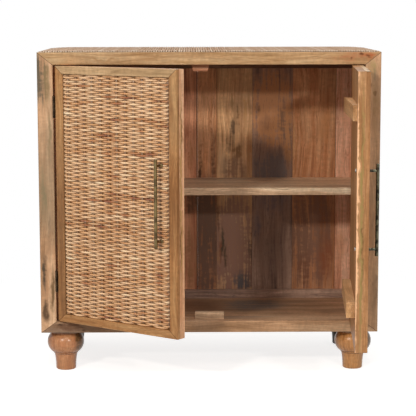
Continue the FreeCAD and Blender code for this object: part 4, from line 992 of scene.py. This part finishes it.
def side_gap(x):
    """Distance from x to the nearer side of the mat."""
    return np.minimum(x - mat_low.x, mat_high.x - x)


def pressed(x):
    """Share of the thickness that is left at x: 1, less a parabola over the last 60 mm."""
    return 1 - PRESS * np.clip(1 - side_gap(x) / PRESSED, 0, 1) ** 2


def rounded(x):
    """How far the rounded corner cuts in from the back at x: r - sqrt(r^2 - (r - gap)^2)."""
    inside = np.clip(CORNER - side_gap(x), 0, CORNER)
    return CORNER - np.sqrt(np.maximum(CORNER ** 2 - inside ** 2, 0))


print("top mat:", round(MAT_THICKNESS / MM, 1), "mm thick, pressed at the sides to a share of",
      round(pressed(mat_low.x), 2))

# %% [markdown]
# The finish of the mat is the door's rattan without its clear coat and more faded, because light
# falls on a top.

# %% Strands of the top mat
mat_rattan = rattan("woven_rattan_mat", (
    (0.0, "#7d5a42"), (0.2, "#9f7b5d"), (0.42, "#be9878"), (0.65, "#d0ad90"), (0.85, "#e0c5ab"),
    (1.0, "#ecd8c2")), "#4c3324", 0.0)


def mat_strands(x, parity, random):
    """Strands at x over and under the stakes: sin(90 deg * cos) of the run, then a quarter bend down."""
    top = mat_low.z + MAT_THICKNESS * pressed(x)
    half_depth = MAT_HALF_DEPTH * pressed(x)
    back = mat_high.y - rounded(x)
    y = MAT_FRONT + (back - MAT_FRONT) * np.linspace(0, 1, MAT_STEPS)
    crest = np.sin(np.pi / 2 * np.cos(np.pi * ((y - MAT_FRONT) / MAT_STAKE_PITCH - 0.5)))
    z = (mat_low.z + top) / 2 + ((top - mat_low.z) / 2 - half_depth) * crest * parity
    woven = np.clip(np.minimum(y - MAT_FRONT, back - y) / FADE, 0, 1)
    z = z * woven + (top - half_depth) * (1 - woven)

    quarter = np.linspace(0, np.pi / 2, BEND_STEPS + 1)[:-1]
    drop = np.minimum(EDGE_BEND, top - mat_low.z) - half_depth
    bend_y = MAT_FRONT - (EDGE_BEND - half_depth) * np.cos(quarter)
    bend_z = top - half_depth - drop * (1 - np.sin(quarter))
    y, z = np.concatenate((bend_y, y), 1), np.concatenate((bend_z, z), 1)
    x = x + random.uniform(-MAT_UNEVEN, MAT_UNEVEN, x.shape)
    return np.stack(np.broadcast_arrays(x, y, z), -1), half_depth


MAT_TONE, MAT_TONE_SPREAD, MAT_DEPTH = 0.64, 0.08, 0.6
random = np.random.default_rng(303)
count = int((mat_high.x - mat_low.x) / MAT_PITCH)
row = np.arange(count)[:, None]
strand_x = mat_low.x + (mat_high.x - mat_low.x) * (row + 0.5) / count
paths, half_depth = mat_strands(strand_x, np.where(row % 2, 1.0, -1.0), random)
tooth = np.clip((paths[..., 1] - mat_low.y) / TOOTH, 0, 1)
half_width = MAT_HALF_WIDTH * (1 - TOOTH_NARROWING * (1 - tooth))
mesh, ring = tube_mesh("woven_top_strands", paths, (1, 0, 0), half_width, half_depth)
tone = random.normal(MAT_TONE, MAT_TONE_SPREAD, (count, 1))
tone = np.clip(tone, 0, 1) + TOOTH_TONE * (1 - tooth)
store(mesh, ring, "tone", tone[..., None])
store(mesh, ring, "along", paths[..., 1, None] + random.uniform(*ANY_LENGTH, (count, 1, 1)))
store(mesh, ring, "depth", MAT_DEPTH)
mesh.flip_normals()
show(mesh, mat_rattan, CARCASS, RATTAN_SLOT, "woven_top")

# %% [markdown]
# The mat's stakes are flat splints across its whole width.  They stop a little short of its sides,
# and near the back they are cut shorter, where the corners are rounded.

# %% Stakes of the top mat
SPLINT_HALF_WIDTH, SPLINT_HALF_DEPTH, SPLINT_STEPS, SPLINT_END = 2.4 * MM, 0.4 * MM, 90, 1.5 * MM
SPLINT_TONE, BACK_INSET = 0.45, 0.6 * CORNER
FIRST_SPLINT, LAST_SPLINT = MAT_FRONT + 0.5 * MAT_STAKE_PITCH, mat_high.y - CORNER / 3
splint_y = np.arange(FIRST_SPLINT, LAST_SPLINT, MAT_STAKE_PITCH)[:, None]
inset = SPLINT_END + np.interp(splint_y, (mat_high.y - CORNER, mat_high.y), (0, BACK_INSET))
width = mat_high.x - mat_low.x - 2 * inset
splint_x = mat_low.x + inset + width * np.linspace(0, 1, SPLINT_STEPS)
splint_z = mat_low.z + MAT_THICKNESS * pressed(splint_x) / 2
paths = np.stack(np.broadcast_arrays(splint_x, splint_y, splint_z), -1)
mesh, ring = tube_mesh("woven_top_stakes", paths, (0, 1, 0), SPLINT_HALF_WIDTH,
                       SPLINT_HALF_DEPTH * pressed(splint_x))
for attribute in ("tone", "depth"):
    store(mesh, ring, attribute, SPLINT_TONE)
store(mesh, ring, "along", splint_x[..., None])
show(mesh, mat_rattan, CARCASS, RATTAN_SLOT)

# %% [markdown]
# The room is a plain pale floor in front of white.  The floor is a disc that glows for the camera
# and in reflections, so that it is nearly white and still keeps the cabinet's shadow.  Further out
# it fades to plain white, so no edge shows.

# %% Floor
FLOOR_RADIUS, FLOOR_RINGS, FLOOR_SPOKES = 2.2, 12, 64
FADE_FROM, FADE_TO, FLOOR_GLOW = 0.55, 1.25, 0.78
WHITE = linear("#ffffff")
spoke, angle = np.meshgrid(np.linspace(0, FLOOR_RADIUS, FLOOR_RINGS),
                           np.linspace(0, 2 * np.pi, FLOOR_SPOKES + 1)[:-1])
disc = np.stack((spoke * np.cos(angle), spoke * np.sin(angle), 0 * spoke), -1)
cell = np.arange(spoke.size).reshape(spoke.shape)
beside = np.roll(cell, -1, axis=0)
disc_quads = np.stack((cell[:, :-1], cell[:, 1:], beside[:, 1:], beside[:, :-1]), -1).reshape(-1, 4)
floor_mesh = bpy.data.meshes.new("floor")
floor_mesh.from_pydata(disc.reshape(-1, 3).tolist(), [], disc_quads.tolist())
floor_material, tree, shader = new_material("pale_floor")
rays = add(tree, "LightPath").outputs
seen = add(tree, "Math", {0: rays["Is Camera Ray"], 1: rays["Is Glossy Ray"]}, operation="MAXIMUM")
glow = add(tree, "Math", {0: seen, 1: FLOOR_GLOW}, operation="MULTIPLY")
fill(tree, shader, {"Base Color": linear("#c9c6c1"), "Roughness": 0.9, "Emission Color": WHITE,
                    "Emission Strength": glow})
away = add(tree, "VectorMath", {0: add(tree, "TexCoord").outputs["Object"]}, operation="LENGTH")
fading = add(tree, "MapRange", {0: away, 1: FADE_FROM, 2: FADE_TO}, **SMOOTH)
fading = add(tree, "Math", {0: fading, 1: seen}, operation="MULTIPLY")
white = add(tree, "Emission", {"Color": WHITE, "Strength": 1.0})
faded = add(tree, "MixShader", {0: fading, 1: shader, 2: white})
fill(tree, tree.nodes["Material Output"], {"Surface": faded})
floor_mesh.materials.append(floor_material)
floor = bpy.data.objects.new("floor", floor_mesh)
bpy.context.scene.collection.objects.link(floor)
print("floor:", len(disc_quads), "faces")

# %% [markdown]
# The camera and the reflections see the world as plain white, so that the lacquer and the metal
# have something to mirror, but only a part of it lights the object.  Light Path tells the two apart.

# %% White background
AMBIENT = 0.28
world = bpy.data.worlds.new("studio")
world.use_nodes = True
tree = world.node_tree
tree.nodes.clear()
rays = add(tree, "LightPath").outputs
seen = add(tree, "Math", {0: rays["Is Camera Ray"], 1: rays["Is Glossy Ray"]}, operation="MAXIMUM")
seen = add(tree, "Math", {0: seen, 1: rays["Is Transmission Ray"]}, operation="MAXIMUM")
strength = add(tree, "Math", {0: seen, 1: 1 - AMBIENT, 2: AMBIENT}, operation="MULTIPLY_ADD")
sky = add(tree, "Background", {"Color": WHITE, "Strength": strength})
add(tree, "OutputWorld", {"Surface": sky})
bpy.context.scene.world = world
print("ambient light:", AMBIENT)

# %% [markdown]
# A small softbox stands to the left of the camera at head height: its light reaches into the
# shelves, its shadows have clear edges, and the back's upper part stays in the shade of the frame.
# A weaker one fills from the right.  Two large weak ones, above the camera and above the cabinet,
# soften both.  Together they add up to about the level at which a colour renders as it is written.

# %% Lamps
AIM = (0, -0.2, 0.45)


def softbox(name, place, width, height, power, tint="#ffffff"):
    """Rectangular lamp at place that faces AIM."""
    data = bpy.data.lights.new(name, "AREA")
    data.shape = "RECTANGLE"
    data.size, data.size_y, data.energy = width, height, power
    data.color = linear(tint)[:3]
    lamp = bpy.data.objects.new(name, data)
    lamp.location = place
    direction = np.subtract(AIM, place)
    yaw = math.atan2(-direction[0], direction[1])
    tilt = math.atan2(direction[2], math.hypot(direction[0], direction[1]))
    lamp.rotation_euler = (math.pi / 2 + tilt, 0, yaw)
    bpy.context.scene.collection.objects.link(lamp)
    print(name, "at", [round(float(value), 2) for value in place], "with", power, "W")


def around(turn, rise, distance):
    """Point at a distance from AIM: turn degrees right of the front, rise degrees up."""
    a, e = math.radians(turn), math.radians(rise)
    return np.add(AIM, (distance * math.sin(a) * math.cos(e), -distance * math.cos(a) * math.cos(e),
                        distance * math.sin(e)))


softbox("key_softbox", around(-25.5, 22.7, 3.6), 0.3, 0.2, 47.5, "#fffcf6")
softbox("fill_softbox", around(19.7, 17.3, 3.6), 0.22, 0.14, 28)
softbox("high_softbox", around(0, 40, 3.4), 1.2, 0.8, 13)
softbox("top_softbox", (0, -0.5, 3.6), 1.4, 1.2, 34)
bpy.context.scene.view_settings.view_transform = "Standard"
